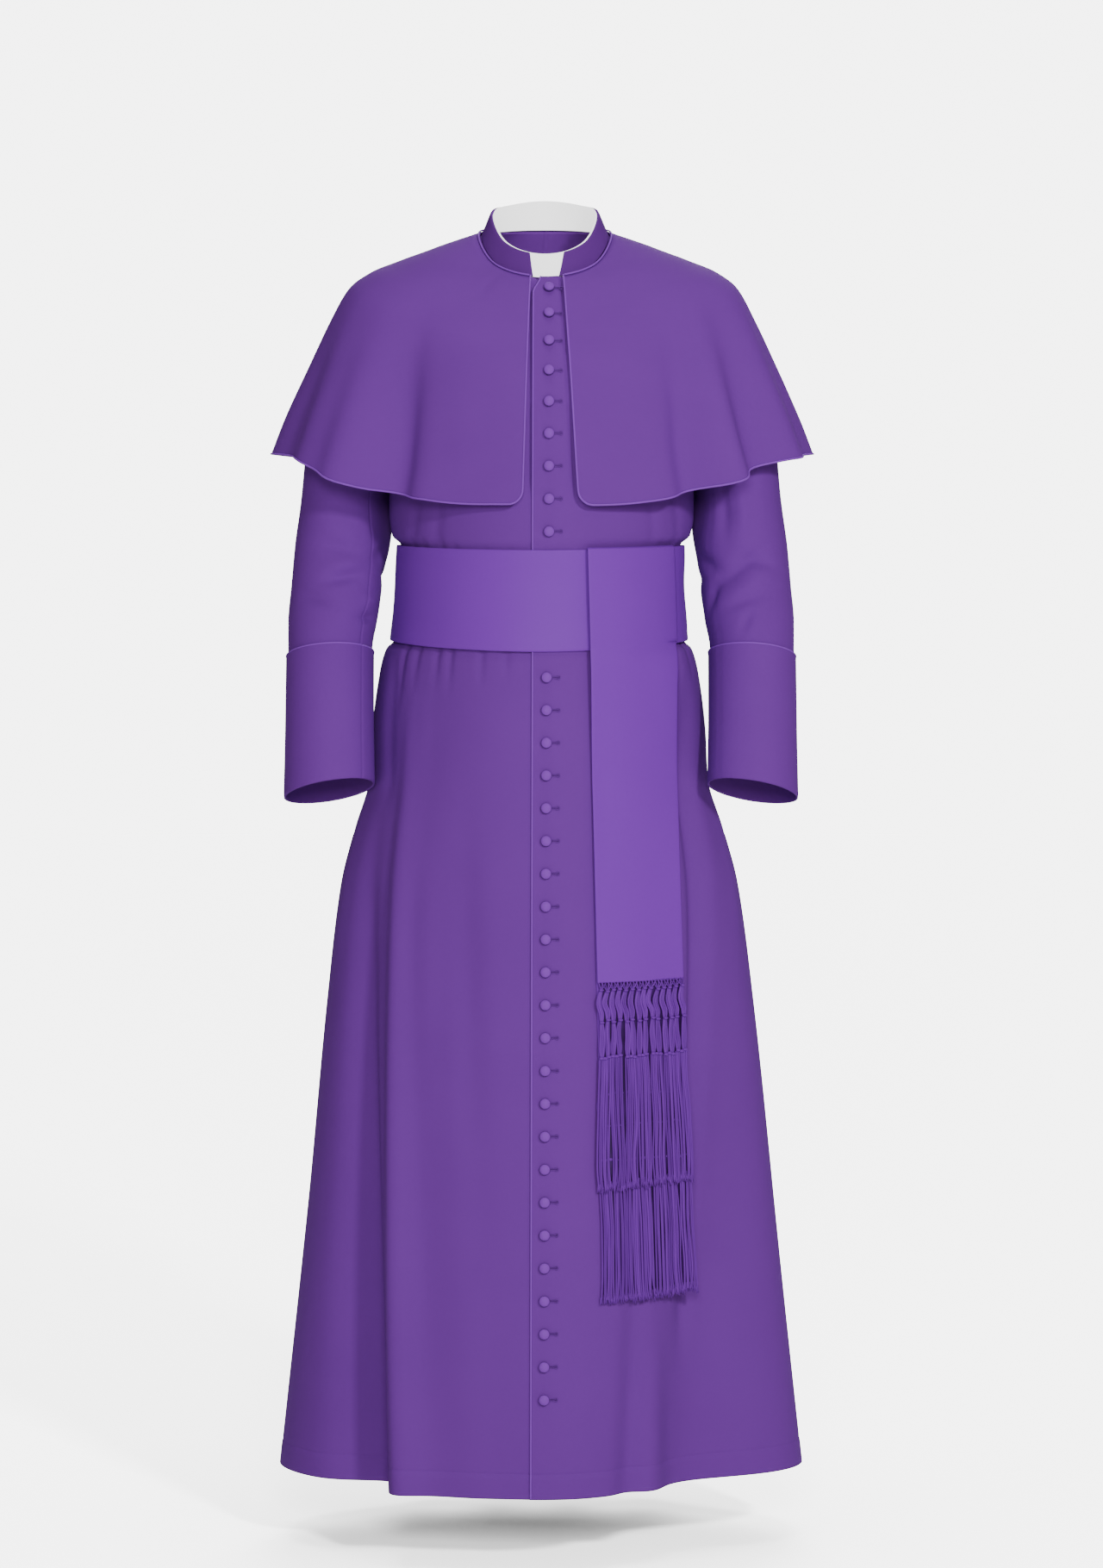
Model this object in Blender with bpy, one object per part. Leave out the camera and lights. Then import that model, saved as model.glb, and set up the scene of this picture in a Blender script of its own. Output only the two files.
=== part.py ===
"""A worn cassock: fronts, back, sleeves, cuffs, collar, shoulder cape, sash, fringes and buttons.

The row's frame is in metres with +Z up. The origin is the middle of the neck's base, where the
wearer's neck and shoulders carry the garment. The fronts face -Y and the wearer's left is +X.
Every piece of cloth is a thin wall bent from a flat slab, so the garment is hollow throughout.

Angles in degrees go round the figure: 0 at the front, 90 at the wearer's left side, 180 at the
back and -90 at the right side. Heights are those of the front's middle, in millimetres.
"""
import math
from collections import namedtuple

import bmesh
import bpy
from mathutils import Matrix, Vector

MM = 0.001

# ---- cloth ---------------------------------------------------------------------------------
WALL = 2.0              # cassock cloth with its turnings
SEAM_GAP = 0.3          # between neighbouring pieces
PIPING = 2.0            # width of a piped edge
COLLAR_WALL = 2.6       # stiffened band
INSERT_WALL = 1.0       # white collar band
PLACKET_LIFT = WALL + 0.5
CLEARANCE = 0.8         # under a piece that lies on another one's facets
BAND_LIFT = PLACKET_LIFT + CLEARANCE

# ---- heights at the middle of the front ------------------------------------------------------
NECK = -29.0
CAPE_NECK = -27.0
SHOULDER_TIP = -121.0   # front height of the ring that passes the shoulder tips
UNDERARM = -175.0
BAND_TOP = -339.0
BAND_BOTTOM = -454.0
WAIST_SEAM = -396.0      # under the sash, where the skirts join the body's panels
HEM = -1402.0
WAIST_RADIUS = 160.0
ARMHOLE_DIP = 19.0      # how many degrees the armhole's edge bows away from the side
GRAIN_HOLD = 0.64       # the hem's share of a waist angle near the middle; the rest goes to the sides

# ---- the body, one ring a row ------------------------------------------------------------------
# height: of the front's middle; up_45 to up_180: how much higher the ring is at those angles;
# r_0 to r_180: its distance from the figure's axis; shift: how far its middle stands to +X.
Ring = namedtuple("Ring", "height up_45 up_90 up_135 up_180 r_0 r_45 r_90 r_135 r_180 shift")
BODY = (
    #     height up_45 up_90 up_135 up_180  r_0  r_45  r_90  r_135 r_180 shift
    Ring(-29.0, 13.0, 50.7, 59.5, 61.5, 72.8, 71.8, 73.6, 68.2, 64.2, 3.0),
    Ring(-55.0, 22.0, 58.0, 72.0, 64.0, 91.6, 91.0, 127.0, 91.0, 76.0, 2.5),
    Ring(-87.0, 34.0, 77.0, 90.0, 75.0, 111.0, 111.0, 167.0, 112.0, 86.0, 2.0),
    Ring(-121.0, 41.0, 99.0, 104.0, 81.0, 126.0, 130.0, 188.0, 133.0, 98.0, 1.0),
    Ring(-148.0, 22.0, 51.0, 57.0, 43.0, 136.0, 148.0, 184.0, 147.0, 112.0, 0.0),
    Ring(-175.0, 0.0, 0.0, 0.0, 0.0, 142.0, 157.0, 176.5, 149.0, 122.0, 0.0),
    Ring(-240.0, 0.0, 0.0, 0.0, 0.0, 146.0, 157.0, 176.0, 149.0, 125.0, -1.0),
    Ring(-300.0, 1.0, 3.0, 3.0, 3.0, 149.0, 157.0, 176.0, 147.0, 124.0, -1.0),
    Ring(-327.0, 2.0, 5.0, 6.0, 6.0, 149.0, 156.0, 172.0, 146.0, 121.0, -1.5),
    Ring(-339.0, 2.0, 6.0, 7.0, 7.0, 146.0, 152.0, 161.5, 144.0, 118.0, -2.0),
    Ring(-454.0, 4.0, 11.0, 12.0, 12.0, 149.0, 155.0, 167.5, 149.0, 122.0, -4.0),
    Ring(-463.0, 4.0, 11.0, 12.0, 12.0, 152.0, 158.0, 176.5, 152.0, 125.0, -4.0),
    Ring(-490.0, 2.0, 7.0, 8.0, 8.0, 156.0, 162.0, 185.0, 157.0, 131.0, -4.0),
    Ring(-540.0, 0.0, 0.0, 0.0, 0.0, 162.0, 168.0, 192.0, 162.0, 140.0, -4.5),
    Ring(-600.0, 0.0, 0.0, 0.0, 0.0, 168.0, 174.0, 195.0, 168.0, 150.0, -4.5),
    Ring(-660.0, 0.0, 0.0, 0.0, 0.0, 174.0, 181.0, 213.0, 175.0, 158.0, -4.0),
    Ring(-725.0, 0.0, 0.0, 0.0, 0.0, 180.0, 188.0, 230.0, 184.0, 167.0, -3.5),
    Ring(-860.0, 0.0, 0.0, 0.0, 0.0, 190.0, 198.0, 247.5, 196.0, 181.0, -2.5),
    Ring(-1100.0, 0.0, 0.0, 0.0, 0.0, 208.0, 213.0, 272.0, 213.0, 200.0, -1.0),
    Ring(-1402.0, 0.0, 0.0, 0.0, 0.0, 228.0, 229.0, 305.0, 235.0, 222.0, -1.0),
)

# Folds of the body: at: angle at the waist, which the fold keeps along the grain; lift: how far it
# stands out at its deep end, or in where negative; width: half of it, in millimetres, at its
# shallow and deep ends; shallow, deep: the heights where it starts and where it is full.
Fold = namedtuple("Fold", "at lift width_shallow width_deep shallow deep")
BODY_FOLDS = (
    #    at    lift  width_shallow width_deep shallow deep
    Fold(-58.0, 34.0, 12.0, 25.0, -455.0, -1402.0),
    Fold(-36.0, 10.0, 14.0, 40.0, -700.0, -1402.0),
    Fold(-74.0, -26.0, 12.0, 30.0, -640.0, -1402.0),
    Fold(42.0, -9.0, 12.0, 20.0, -900.0, -1402.0),
    Fold(75.0, -40.0, 30.0, 90.0, -700.0, -1402.0),
    Fold(54.0, 8.0, 12.0, 26.0, -1215.0, -1402.0),
    Fold(128.0, 14.0, 12.0, 30.0, -520.0, -1402.0),
    Fold(146.0, -20.0, 12.0, 26.0, -470.0, -1402.0),
    Fold(163.0, 16.0, 12.0, 28.0, -470.0, -1402.0),
    Fold(180.0, -24.0, 9.0, 24.0, -463.0, -1402.0),
    Fold(198.0, 18.0, 12.0, 28.0, -470.0, -1402.0),
    Fold(216.0, -18.0, 12.0, 28.0, -480.0, -1402.0),
    Fold(233.0, 13.0, 12.0, 30.0, -540.0, -1402.0),
)

# Gathers, short troughs that the sash pulls in: at: angle; depth; half: half their width in
# millimetres; length: how far they run below the sash; above: how far they run above it.
Gather = namedtuple("Gather", "at depth half length above")
GATHERS = (
    #      at    depth half length above
    Gather(-66.0, 3.0, 5.0, 90.0, 22.0),
    Gather(-58.0, 2.6, 5.0, 60.0, 18.0),
    Gather(-47.0, 2.4, 5.0, 55.0, 20.0),
    Gather(-40.0, 2.4, 5.0, 60.0, 12.0),
    Gather(-25.0, 2.0, 5.0, 50.0, 8.0),
    Gather(-14.0, 1.6, 5.0, 40.0, 6.0),
    Gather(60.0, 2.4, 5.0, 60.0, 14.0),
    Gather(69.0, 2.8, 5.0, 70.0, 20.0),
    Gather(78.0, 2.4, 5.0, 55.0, 12.0),
    Gather(118.0, 2.6, 5.0, 60.0, 16.0),
    Gather(137.0, 2.8, 5.0, 80.0, 18.0),
    Gather(155.0, 2.6, 5.0, 70.0, 14.0),
    Gather(172.0, 3.0, 5.0, 90.0, 16.0),
    Gather(189.0, 3.0, 5.0, 85.0, 18.0),
    Gather(207.0, 2.6, 5.0, 65.0, 14.0),
    Gather(224.0, 2.8, 5.0, 75.0, 18.0),
    Gather(243.0, 2.4, 5.0, 60.0, 12.0),
)

# ---- placket -----------------------------------------------------------------------------------
PLACKET_X_TOP = -9.2    # the top front's edge, at the neck
PLACKET_X_HEM = -11.8
PLACKET_CORNER = 20.0   # the edge's slanted top corner
UNDERLAP_X = 27.0       # the under front's own edge
PLACKET_SINKS = 39.0    # the width over which the top front sinks back to the body's face

# ---- buttons -----------------------------------------------------------------------------------
BUTTON_RADIUS = 6.3
BUTTON_HEIGHT = 5.6
# start: height of the first; pitch: along the cloth; x_first and x_last: where they stand
ButtonRow = namedtuple("ButtonRow", "start pitch count x_first x_last")
BUTTON_ROWS = (
    ButtonRow(-43.0, 36.85, 9, 7.6, 7.4),
    ButtonRow(-483.0, 36.85, 23, 4.7, 1.9),
)

# ---- sleeves -----------------------------------------------------------------------------------
# One oval a row, for the left sleeve; the first lies along the armhole. inner and outer: the ends
# of its long axis; y and half_depth: its middle and half width front to back; rise: how much
# higher its front point is, since the forearm reaches forward.
Oval = namedtuple("Oval", "inner_x inner_z outer_x outer_z y half_depth rise")
SLEEVE = (
    #    inner_x inner_z outer_x outer_z    y  half_depth rise
    Oval(177.5, -172.0, 190.0, -23.0, 0.0, 57.0, 0.0),
    Oval(179.5, -177.0, 217.0, -50.0, 0.0, 59.0, 0.0),
    Oval(182.0, -192.0, 248.0, -103.0, 2.0, 58.0, 0.0),
    Oval(184.5, -228.0, 268.0, -185.0, 6.0, 56.0, 1.0),
    Oval(186.0, -290.0, 278.5, -284.0, 10.0, 54.0, 3.0),
    Oval(181.5, -335.0, 285.5, -334.0, 11.0, 54.0, 6.0),
    Oval(184.5, -379.0, 289.5, -380.0, 6.0, 53.0, 10.0),
    Oval(189.0, -417.0, 292.5, -421.0, -8.0, 52.0, 13.0),
    Oval(195.0, -457.0, 292.0, -463.0, -22.0, 51.0, 14.0),
    Oval(194.5, -530.0, 292.0, -542.0, -46.0, 51.0, 14.0),
    Oval(192.5, -606.0, 292.5, -623.0, -72.0, 51.0, 14.0),
)
SLEEVE_SHIFT = -1.5     # the middle between the two sleeves
CUFF_TOP = 8.0          # row of the table where the cuff begins
SLEEVE_END = 8.3        # the sleeve's own end, inside the cuff
CUFF_END = 10.0
CUFF_ROW = 40.0         # length of a row of the table where the cuff begins
SLEEVE_COLUMNS = 16

# ---- cape, one ring a row, as the body's ---------------------------------------------------------
CAPE = (
    #     height up_45 up_90 up_135 up_180  r_0  r_45  r_90  r_135 r_180 shift
    Ring(-27.0, 13.0, 52.0, 60.0, 62.0, 78.2, 76.2, 75.2, 70.2, 66.2, 3.0),
    Ring(-52.0, 24.0, 59.5, 74.0, 66.0, 98.0, 98.0, 129.0, 95.0, 80.0, 2.5),
    Ring(-84.0, 36.0, 76.5, 92.0, 77.0, 116.0, 117.0, 170.0, 118.0, 92.0, 2.0),
    Ring(-118.0, 44.0, 96.0, 106.0, 84.0, 131.0, 139.0, 204.0, 140.0, 104.0, 1.5),
    Ring(-140.0, 42.0, 102.5, 109.0, 82.0, 139.0, 153.0, 224.0, 153.0, 112.0, 1.0),
    Ring(-170.0, 33.0, 90.0, 97.0, 73.0, 147.5, 165.0, 248.0, 168.0, 123.0, 0.5),
    Ring(-205.0, 25.0, 78.0, 83.0, 65.0, 153.0, 173.0, 270.0, 183.0, 132.0, 0.5),
    Ring(-250.0, 13.0, 63.0, 61.0, 48.0, 157.5, 181.0, 297.0, 199.0, 143.0, 0.0),
    Ring(-289.0, 6.0, 58.0, 47.0, 36.0, 162.0, 190.0, 314.0, 211.0, 152.0, 0.0),
)
CAPE_HEM = -289.0
CAPE_CORNER = 16.0      # radius of the front corners
# The front edges stand to the left and right of the buttons, wider apart at the hem.
CAPE_EDGE_RIGHT = (-14.6, -22.5)
CAPE_EDGE_LEFT = (25.0, 41.0)

# Flutes of the cape: at: angle; lift: at the hem; half: half width in degrees; start: front height
Flute = namedtuple("Flute", "at lift half start")
FLUTES = (
    #     at    lift  half start
    Flute(-50.0, -6.0, 6.0, -150.0),
    Flute(-72.0, 9.0, 6.0, -118.0),
    Flute(-84.0, -20.0, 6.0, -118.0),
    Flute(-97.0, 4.0, 8.0, -118.0),
    Flute(48.0, -6.0, 6.0, -150.0),
    Flute(60.0, 4.0, 6.0, -140.0),
    Flute(73.0, 5.0, 6.0, -118.0),
    Flute(83.0, -12.0, 5.0, -118.0),
    Flute(97.0, 3.0, 8.0, -118.0),
    Flute(122.0, -9.0, 9.0, -118.0),
    Flute(140.0, 8.0, 9.0, -105.0),
    Flute(158.0, -7.0, 8.0, -105.0),
    Flute(177.0, 8.0, 9.0, -100.0),
    Flute(196.0, -8.0, 8.0, -105.0),
    Flute(216.0, 9.0, 9.0, -105.0),
    Flute(236.0, -9.0, 9.0, -118.0),
)

# ---- collar ------------------------------------------------------------------------------------
COLLAR_FOOT_LIFT = 1.4
# height and inward lean at 0, 45, 90, 135 and 180 degrees
COLLAR_TALL = (28.0, 28.0, 28.0, 31.0, 34.0)
COLLAR_LEAN = (9.0, 10.0, 11.0, 9.0, 6.0)
# angle of the notch's ends, at the collar's foot and top
NOTCH_RIGHT = (-11.0, -14.5)
NOTCH_LEFT = (13.0, 19.0)

# ---- sash tails and fringes ------------------------------------------------------------------
# left and right: where the edges stand along X at the sash, at the cloth's own end and at the
# fringe's foot; end and foot: their heights; layers: how many pieces of the sash lie between the
# tail and the skirt, at the band and below it
Tail = namedtuple("Tail", "left_top right_top left_end right_end left_foot right_foot end foot "
                          "layers_band layers_below")
TAIL_FRONT = Tail(48.0, 142.0, 60.3, 158.0, 60.3, 170.0, -822.5, -1054.0, 2, 1)
TAIL_REAR = Tail(50.0, 142.0, 63.0, 161.0, 65.0, 175.0, -942.0, -1180.0, 1, 0)
TAIL_SLANT = 7.0        # how much lower a tail's end hangs at its inner edge
TAIL_SETTLES = 150.0    # the height over which a tail comes off the band and down to the skirt
STRANDS = 28
STRIP = 8.0             # the backing that the strands hang from

COLOURS = {
    "cassock": (0.162, 0.068, 0.352, 1.0),
    "piping": (0.27, 0.14, 0.51, 1.0),
    "sash": (0.212, 0.092, 0.448, 1.0),
    "fringe": (0.205, 0.08, 0.46, 1.0),
    "button": (0.23, 0.105, 0.45, 1.0),
    "insert": (0.86, 0.86, 0.87, 1.0),
}
ROUGHNESS = {"cassock": 0.8, "piping": 0.6, "sash": 0.5, "fringe": 0.6, "button": 0.7, "insert": 0.45}


# ---- small mathematics -------------------------------------------------------------------------
def mix(a, b, t):
    return a + (b - a) * t


def smooth(t):
    t = min(max(t, 0.0), 1.0)
    return t * t * (3.0 - 2.0 * t)


def bell(distance, half):
    return math.exp(-(distance / half) ** 2)


def slope(xs, ys, i):
    """Tangent of a curve that never overshoots its points."""
    if i == 0:
        return (ys[1] - ys[0]) / (xs[1] - xs[0])
    if i == len(xs) - 1:
        return (ys[-1] - ys[-2]) / (xs[-1] - xs[-2])
    before = (ys[i] - ys[i - 1]) / (xs[i] - xs[i - 1])
    after = (ys[i + 1] - ys[i]) / (xs[i + 1] - xs[i])
    if before * after <= 0.0:
        return 0.0
    return 2.0 * before * after / (before + after)


def curve_at(xs, ys, x):
    """Value at x of the smooth curve through the points (xs, ys), xs rising."""
    i = 0
    while i < len(xs) - 2 and x > xs[i + 1]:
        i += 1
    run = xs[i + 1] - xs[i]
    t = (x - xs[i]) / run
    h00 = 2 * t ** 3 - 3 * t ** 2 + 1
    h10 = t ** 3 - 2 * t ** 2 + t
    h01 = 3 * t ** 2 - 2 * t ** 3
    h11 = t ** 3 - t ** 2
    return (h00 * ys[i] + h10 * run * slope(xs, ys, i)
            + h01 * ys[i + 1] + h11 * run * slope(xs, ys, i + 1))


def around(values, angle):
    """A value given at 0, 45, 90, 135 and 180 degrees, smooth and alike on both sides."""
    a = abs((angle + 180.0) % 360.0 - 180.0) / 45.0
    i = min(int(a), 3)
    t = a - i
    p1 = values[i]
    p2 = values[i + 1]
    p0 = values[i - 1] if i > 0 else values[1]
    p3 = values[i + 2] if i < 3 else values[3]
    m1 = (p2 - p0) / 2
    m2 = (p3 - p1) / 2
    return ((2 * t ** 3 - 3 * t ** 2 + 1) * p1 + (t ** 3 - 2 * t ** 2 + t) * m1
            + (3 * t ** 2 - 2 * t ** 3) * p2 + (t ** 3 - t ** 2) * m2)


def ring_at(table, height):
    """The ring of a table at any front height."""
    downs = [-row.height for row in table]
    values = [curve_at(downs, [row[k] for row in table], -height) for k in range(len(table[0]))]
    return Ring(*values)._replace(height=height)


def on_ring(ring, angle):
    reach = around((ring.r_0, ring.r_45, ring.r_90, ring.r_135, ring.r_180), angle)
    up = around((0.0, ring.up_45, ring.up_90, ring.up_135, ring.up_180), angle)
    a = math.radians(angle)
    return Vector((ring.shift + reach * math.sin(a), -reach * math.cos(a), ring.height + up))


def normal_of(surface, u, v, du=0.4, dv=0.8):
    """Outward normal of a surface whose u goes round with the angle and whose v goes up."""
    across = surface(u + du, v) - surface(u - du, v)
    along = surface(u, v + dv) - surface(u, v - dv)
    return across.cross(along).normalized()


# ---- surfaces ----------------------------------------------------------------------------------
RING_CACHE = {}


def ring_of(name, table, height):
    key = (name, round(height, 4))
    if key not in RING_CACHE:
        RING_CACHE[key] = ring_at(table, height)
    return RING_CACHE[key]


def grain_angle(at, height):
    """The angle where a grain line of the waist has got to: the fronts hang straight and the
    fullness goes to the sides, and the back is cut the same way."""
    t = min(max((height - BAND_BOTTOM) / (HEM - BAND_BOTTOM), 0.0), 1.0)
    a = (at + 180.0) % 360.0 - 180.0
    side = -1.0 if a < 0 else 1.0
    a = abs(a)
    from_middle = a if a <= 90.0 else 180.0 - a
    low = GRAIN_HOLD * from_middle + 90.0 * (1.0 - GRAIN_HOLD) * (from_middle / 90.0) ** 6
    low = low if a <= 90.0 else 180.0 - low
    return at + side * t * (low - a)


def fold_lift(at, height):
    """How far the folds and gathers stand out at a grain line and height."""
    ring = ring_of("body", BODY, height)
    here = grain_angle(at, height)
    total = 0.0
    for fold in BODY_FOLDS:
        t = (height - fold.shallow) / (fold.deep - fold.shallow)
        if t <= 0.0:
            continue
        turn = (here - grain_angle(fold.at, height) + 180.0) % 360.0 - 180.0
        away = math.radians(turn) * around((ring.r_0, ring.r_45, ring.r_90, ring.r_135, ring.r_180), here)
        total += fold.lift * smooth(t) ** 0.7 * bell(away, mix(fold.width_shallow, fold.width_deep, t))
    for gather in GATHERS:
        below = (BAND_BOTTOM - height) / gather.length
        above = (height - BAND_TOP) / gather.above
        fade = 1.0 - smooth(max(below, above, 0.0))
        turn = (at - gather.at + 180.0) % 360.0 - 180.0
        away = math.radians(turn) * WAIST_RADIUS
        total -= gather.depth * fade * bell(away, gather.half)
    return total


def body(at, height, folded=True):
    """A point of the body's outer face. at is the grain line's angle at the waist."""
    ring = ring_of("body", BODY, height)
    angle = grain_angle(at, height)
    point = on_ring(ring, angle)
    if folded:
        a = math.radians(angle)
        lift = fold_lift(at, height)
        point += Vector((math.sin(a), -math.cos(a), 0.0)) * lift
    return point


def grain_at_x(x, height):
    """The grain line whose unfolded point stands at x, on the front."""
    low, high = -80.0, 88.0
    for _ in range(30):
        middle = (low + high) / 2
        if body(middle, height, folded=False).x < x:
            low = middle
        else:
            high = middle
    return (low + high) / 2


def placket_x(height):
    t = min(max((height - NECK) / (HEM - NECK), 0.0), 1.0)
    corner = PLACKET_CORNER * 0.6 * (1.0 - smooth((NECK - height) / PLACKET_CORNER))
    return mix(PLACKET_X_TOP, PLACKET_X_HEM, t) + corner


def placket_rise(x):
    """The top front lies over the under front, and sinks to the body's face past its underlap."""
    return PLACKET_LIFT * (1.0 - smooth((x - UNDERLAP_X - 6.0) / PLACKET_SINKS))


def top_front(at, height):
    point = body(at, height)
    return point + normal_of(body, at, height) * placket_rise(point.x)


def bare_body(at, height):
    """The body without folds or gathers, which hollow it in from here."""
    return body(at, height, folded=False)


def bare_front(at, height):
    point = bare_body(at, height)
    return point + normal_of(bare_body, at, height) * placket_rise(point.x)


def armhole_end(height):
    """The angle where a front or back ends: the side, or the armhole's edge above the underarm."""
    if height >= SHOULDER_TIP or height <= UNDERARM:
        return 90.0
    t = (SHOULDER_TIP - height) / (SHOULDER_TIP - UNDERARM)
    return 90.0 - ARMHOLE_DIP * math.sin(math.pi * t) ** 0.8


def armhole_edge(side, front, height):
    """A point of the armhole's edge, on the straight runs between the rows of the body."""
    above = min(h for h in BODY_ROWS if h >= height - 1e-6)
    below = max(h for h in BODY_ROWS if h <= height + 1e-6)
    t = 0.0 if above == below else (above - height) / (above - below)
    ends = [side * (armhole_end(h) if front else 180.0 - armhole_end(h)) for h in (above, below)]
    return body(ends[0], above).lerp(body(ends[1], below), t)


def seam_turn(height):
    """Half of the seam's gap, as an angle at the side."""
    ring = ring_of("body", BODY, height)
    return math.degrees(SEAM_GAP / 2 / ring.r_90)


def cape(at, height):
    ring = ring_of("cape", CAPE, height)
    point = on_ring(ring, at)
    lift = 0.0
    for flute in FLUTES:
        t = (flute.start - height) / (flute.start - CAPE_HEM)
        turn = (at - flute.at + 180.0) % 360.0 - 180.0
        lift += flute.lift * smooth(t) * bell(turn, flute.half)
    a = math.radians(at)
    return point + Vector((math.sin(a), -math.cos(a), 0.0)) * lift


def cape_edge(side, height):
    """Angle of the cape's front edge: side 0 is the wearer's right, 1 the left."""
    span = CAPE_EDGE_LEFT if side else CAPE_EDGE_RIGHT
    t = (height - CAPE_NECK) / (CAPE_HEM - CAPE_NECK)
    ring = ring_of("cape", CAPE, height)
    return math.degrees(math.asin((mix(span[0], span[1], t) - ring.shift) / ring.r_0))


def cape_hem(inset):
    """Height of the hem at a distance in from the front edge, round the corner."""
    if inset >= CAPE_CORNER:
        return CAPE_HEM
    return CAPE_HEM + CAPE_CORNER - math.sqrt(CAPE_CORNER ** 2 - (CAPE_CORNER - inset) ** 2)


def oval_at(row):
    rows = [float(i) for i in range(len(SLEEVE))]
    return Oval(*[curve_at(rows, [oval[k] for oval in SLEEVE], row) for k in range(len(SLEEVE[0]))])


def sleeve(turn, row, side):
    """turn: 0 at the outer side, 90 at the front, 180 next to the body."""
    oval = oval_at(row)
    a = math.radians(turn)
    outward = (1.0 + math.cos(a)) / 2
    x = mix(oval.inner_x, oval.outer_x, outward)
    z = mix(oval.inner_z, oval.outer_z, outward) + oval.rise * math.sin(a)
    point = Vector((side * x + SLEEVE_SHIFT * smooth(row / 4), oval.y - oval.half_depth * math.sin(a), z))
    if row < 1.0:
        height = mix(SHOULDER_TIP, UNDERARM, 1.0 - outward)
        edge = armhole_edge(side, math.sin(a) >= 0, height) + Vector((side * 2 * SEAM_GAP, 0.0, 0.0))
        point = edge.lerp(point, smooth(row))
    return point


def sleeve_normal(turn, row, side):
    across = sleeve(turn + 2, row, side) - sleeve(turn - 2, row, side)
    step = 0.05
    along = sleeve(turn, max(row - step, 0.0), side) - sleeve(turn, min(row + step, CUFF_END), side)
    return (across.cross(along) * -side).normalized()


def collar_face(at, rise):
    """The collar's outer face; rise goes from 0 at its foot to 1 at its top."""
    foot = on_ring(ring_of("body", BODY, NECK), at)
    tall = around(COLLAR_TALL, at)
    lean = around(COLLAR_LEAN, at)
    a = math.radians(at)
    inward = Vector((-math.sin(a), math.cos(a), 0.0))
    up = COLLAR_FOOT_LIFT + (tall - COLLAR_FOOT_LIFT) * rise
    return foot + inward * lean * rise + Vector((0.0, 0.0, up))


# ---- making a piece of cloth ------------------------------------------------------------------
def material(name):
    slot = bpy.data.materials.new(name)
    slot.use_nodes = True
    shader = slot.node_tree.nodes["Principled BSDF"]
    shader.inputs["Base Color"].default_value = COLOURS[name]
    shader.inputs["Roughness"].default_value = ROUGHNESS[name]
    shader.inputs["Metallic"].default_value = 0.0
    return slot


def finish(name, bm, kind):
    """Turn a bmesh in millimetres into a named object in metres."""
    bmesh.ops.remove_doubles(bm, verts=bm.verts[:], dist=0.001)
    bmesh.ops.recalc_face_normals(bm, faces=bm.faces[:])
    bmesh.ops.scale(bm, vec=(MM, MM, MM), verts=bm.verts[:])
    mesh = bpy.data.meshes.new(name)
    bm.to_mesh(mesh)
    bm.free()
    mesh.materials.append(MATERIALS[kind])
    mesh.shade_smooth()
    mesh.set_sharp_from_angle(angle=math.radians(40))
    thing = bpy.data.objects.new(name, mesh)
    bpy.context.collection.objects.link(thing)
    return thing


def cloth(name, columns, rows, place, wall, kind, closed=False, keep=None):
    """Bend a flat slab of cells to shape. place(column, row) gives the outer face's point and
    normal; the wall goes inwards from it. keep(i, j) says which cells of the slab are cut out."""
    across = len(columns) - 1
    down = len(rows) - 1
    bm = bmesh.new()
    flat = Matrix.Translation((across / 2, down / 2, 0)) @ Matrix.Diagonal((across / 2, down / 2, 1, 1))
    bmesh.ops.create_grid(bm, x_segments=across, y_segments=down, size=1.0, matrix=flat)
    if keep:
        middles = [(f, f.calc_center_median()) for f in bm.faces]
        waste = [f for f, middle in middles if not keep(int(middle.x), int(middle.y))]
        bmesh.ops.delete(bm, geom=waste, context="FACES")
    inner = bmesh.ops.extrude_face_region(bm, geom=bm.faces[:], use_keep_orig=True)
    moved = [v for v in inner["geom"] if isinstance(v, bmesh.types.BMVert)]
    bmesh.ops.translate(bm, vec=(0, 0, -1), verts=moved)
    if closed:
        ends = [f for f in bm.faces
                if all(v.co.x < 0.5 for v in f.verts) or all(v.co.x > across - 0.5 for v in f.verts)]
        bmesh.ops.delete(bm, geom=ends, context="FACES")
    spots = {}
    for vert in bm.verts:
        i, j = round(vert.co.x), round(vert.co.y)
        if (i, j) not in spots:
            spots[i, j] = place(columns[i], rows[j])
        point, normal = spots[i, j]
        vert.co = point - normal * (wall if vert.co.z < -0.5 else 0.0)
    return finish(name, bm, kind)


def steps(start, end, count):
    return [mix(start, end, i / count) for i in range(count + 1)]


# ---- the pieces --------------------------------------------------------------------------------
SKIRT_ROWS = [HEM, -1250.0, -1100.0, -960.0, -850.0, -780.0, -725.0, -660.0, -600.0, -540.0, -490.0, -463.0,
              BAND_BOTTOM, WAIST_SEAM - SEAM_GAP / 2]
BODY_ROWS = [WAIST_SEAM + SEAM_GAP / 2, BAND_TOP, -327.0, -300.0, -240.0, UNDERARM, -167.1, -148.0, -128.9,
             SHOULDER_TIP, -87.0, -55.0, NECK]
LAID_ROWS = SKIRT_ROWS[:-1] + BODY_ROWS[1:]     # what lies over the waist seam has no row at it
FRONT_GRAIN_RIGHT = [-90, -82, -74, -66, -62, -58, -52.5, -47, -43.5, -40, -32, -25, -19.5, -14, -8, 0, 7]
FRONT_GRAIN_LEFT = [0, 7, 15, 24, 33, 42, 48, 54, 60, 64.5, 69, 73.5, 78, 84, 90]
BACK_GRAIN_LEFT = [90, 99, 108, 118, 128, 137, 146, 155, 163, 172, 180]
BACK_GRAIN_RIGHT = [180, 189, 198, 207, 216, 224, 233, 243, 252, 261, 270]


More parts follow.
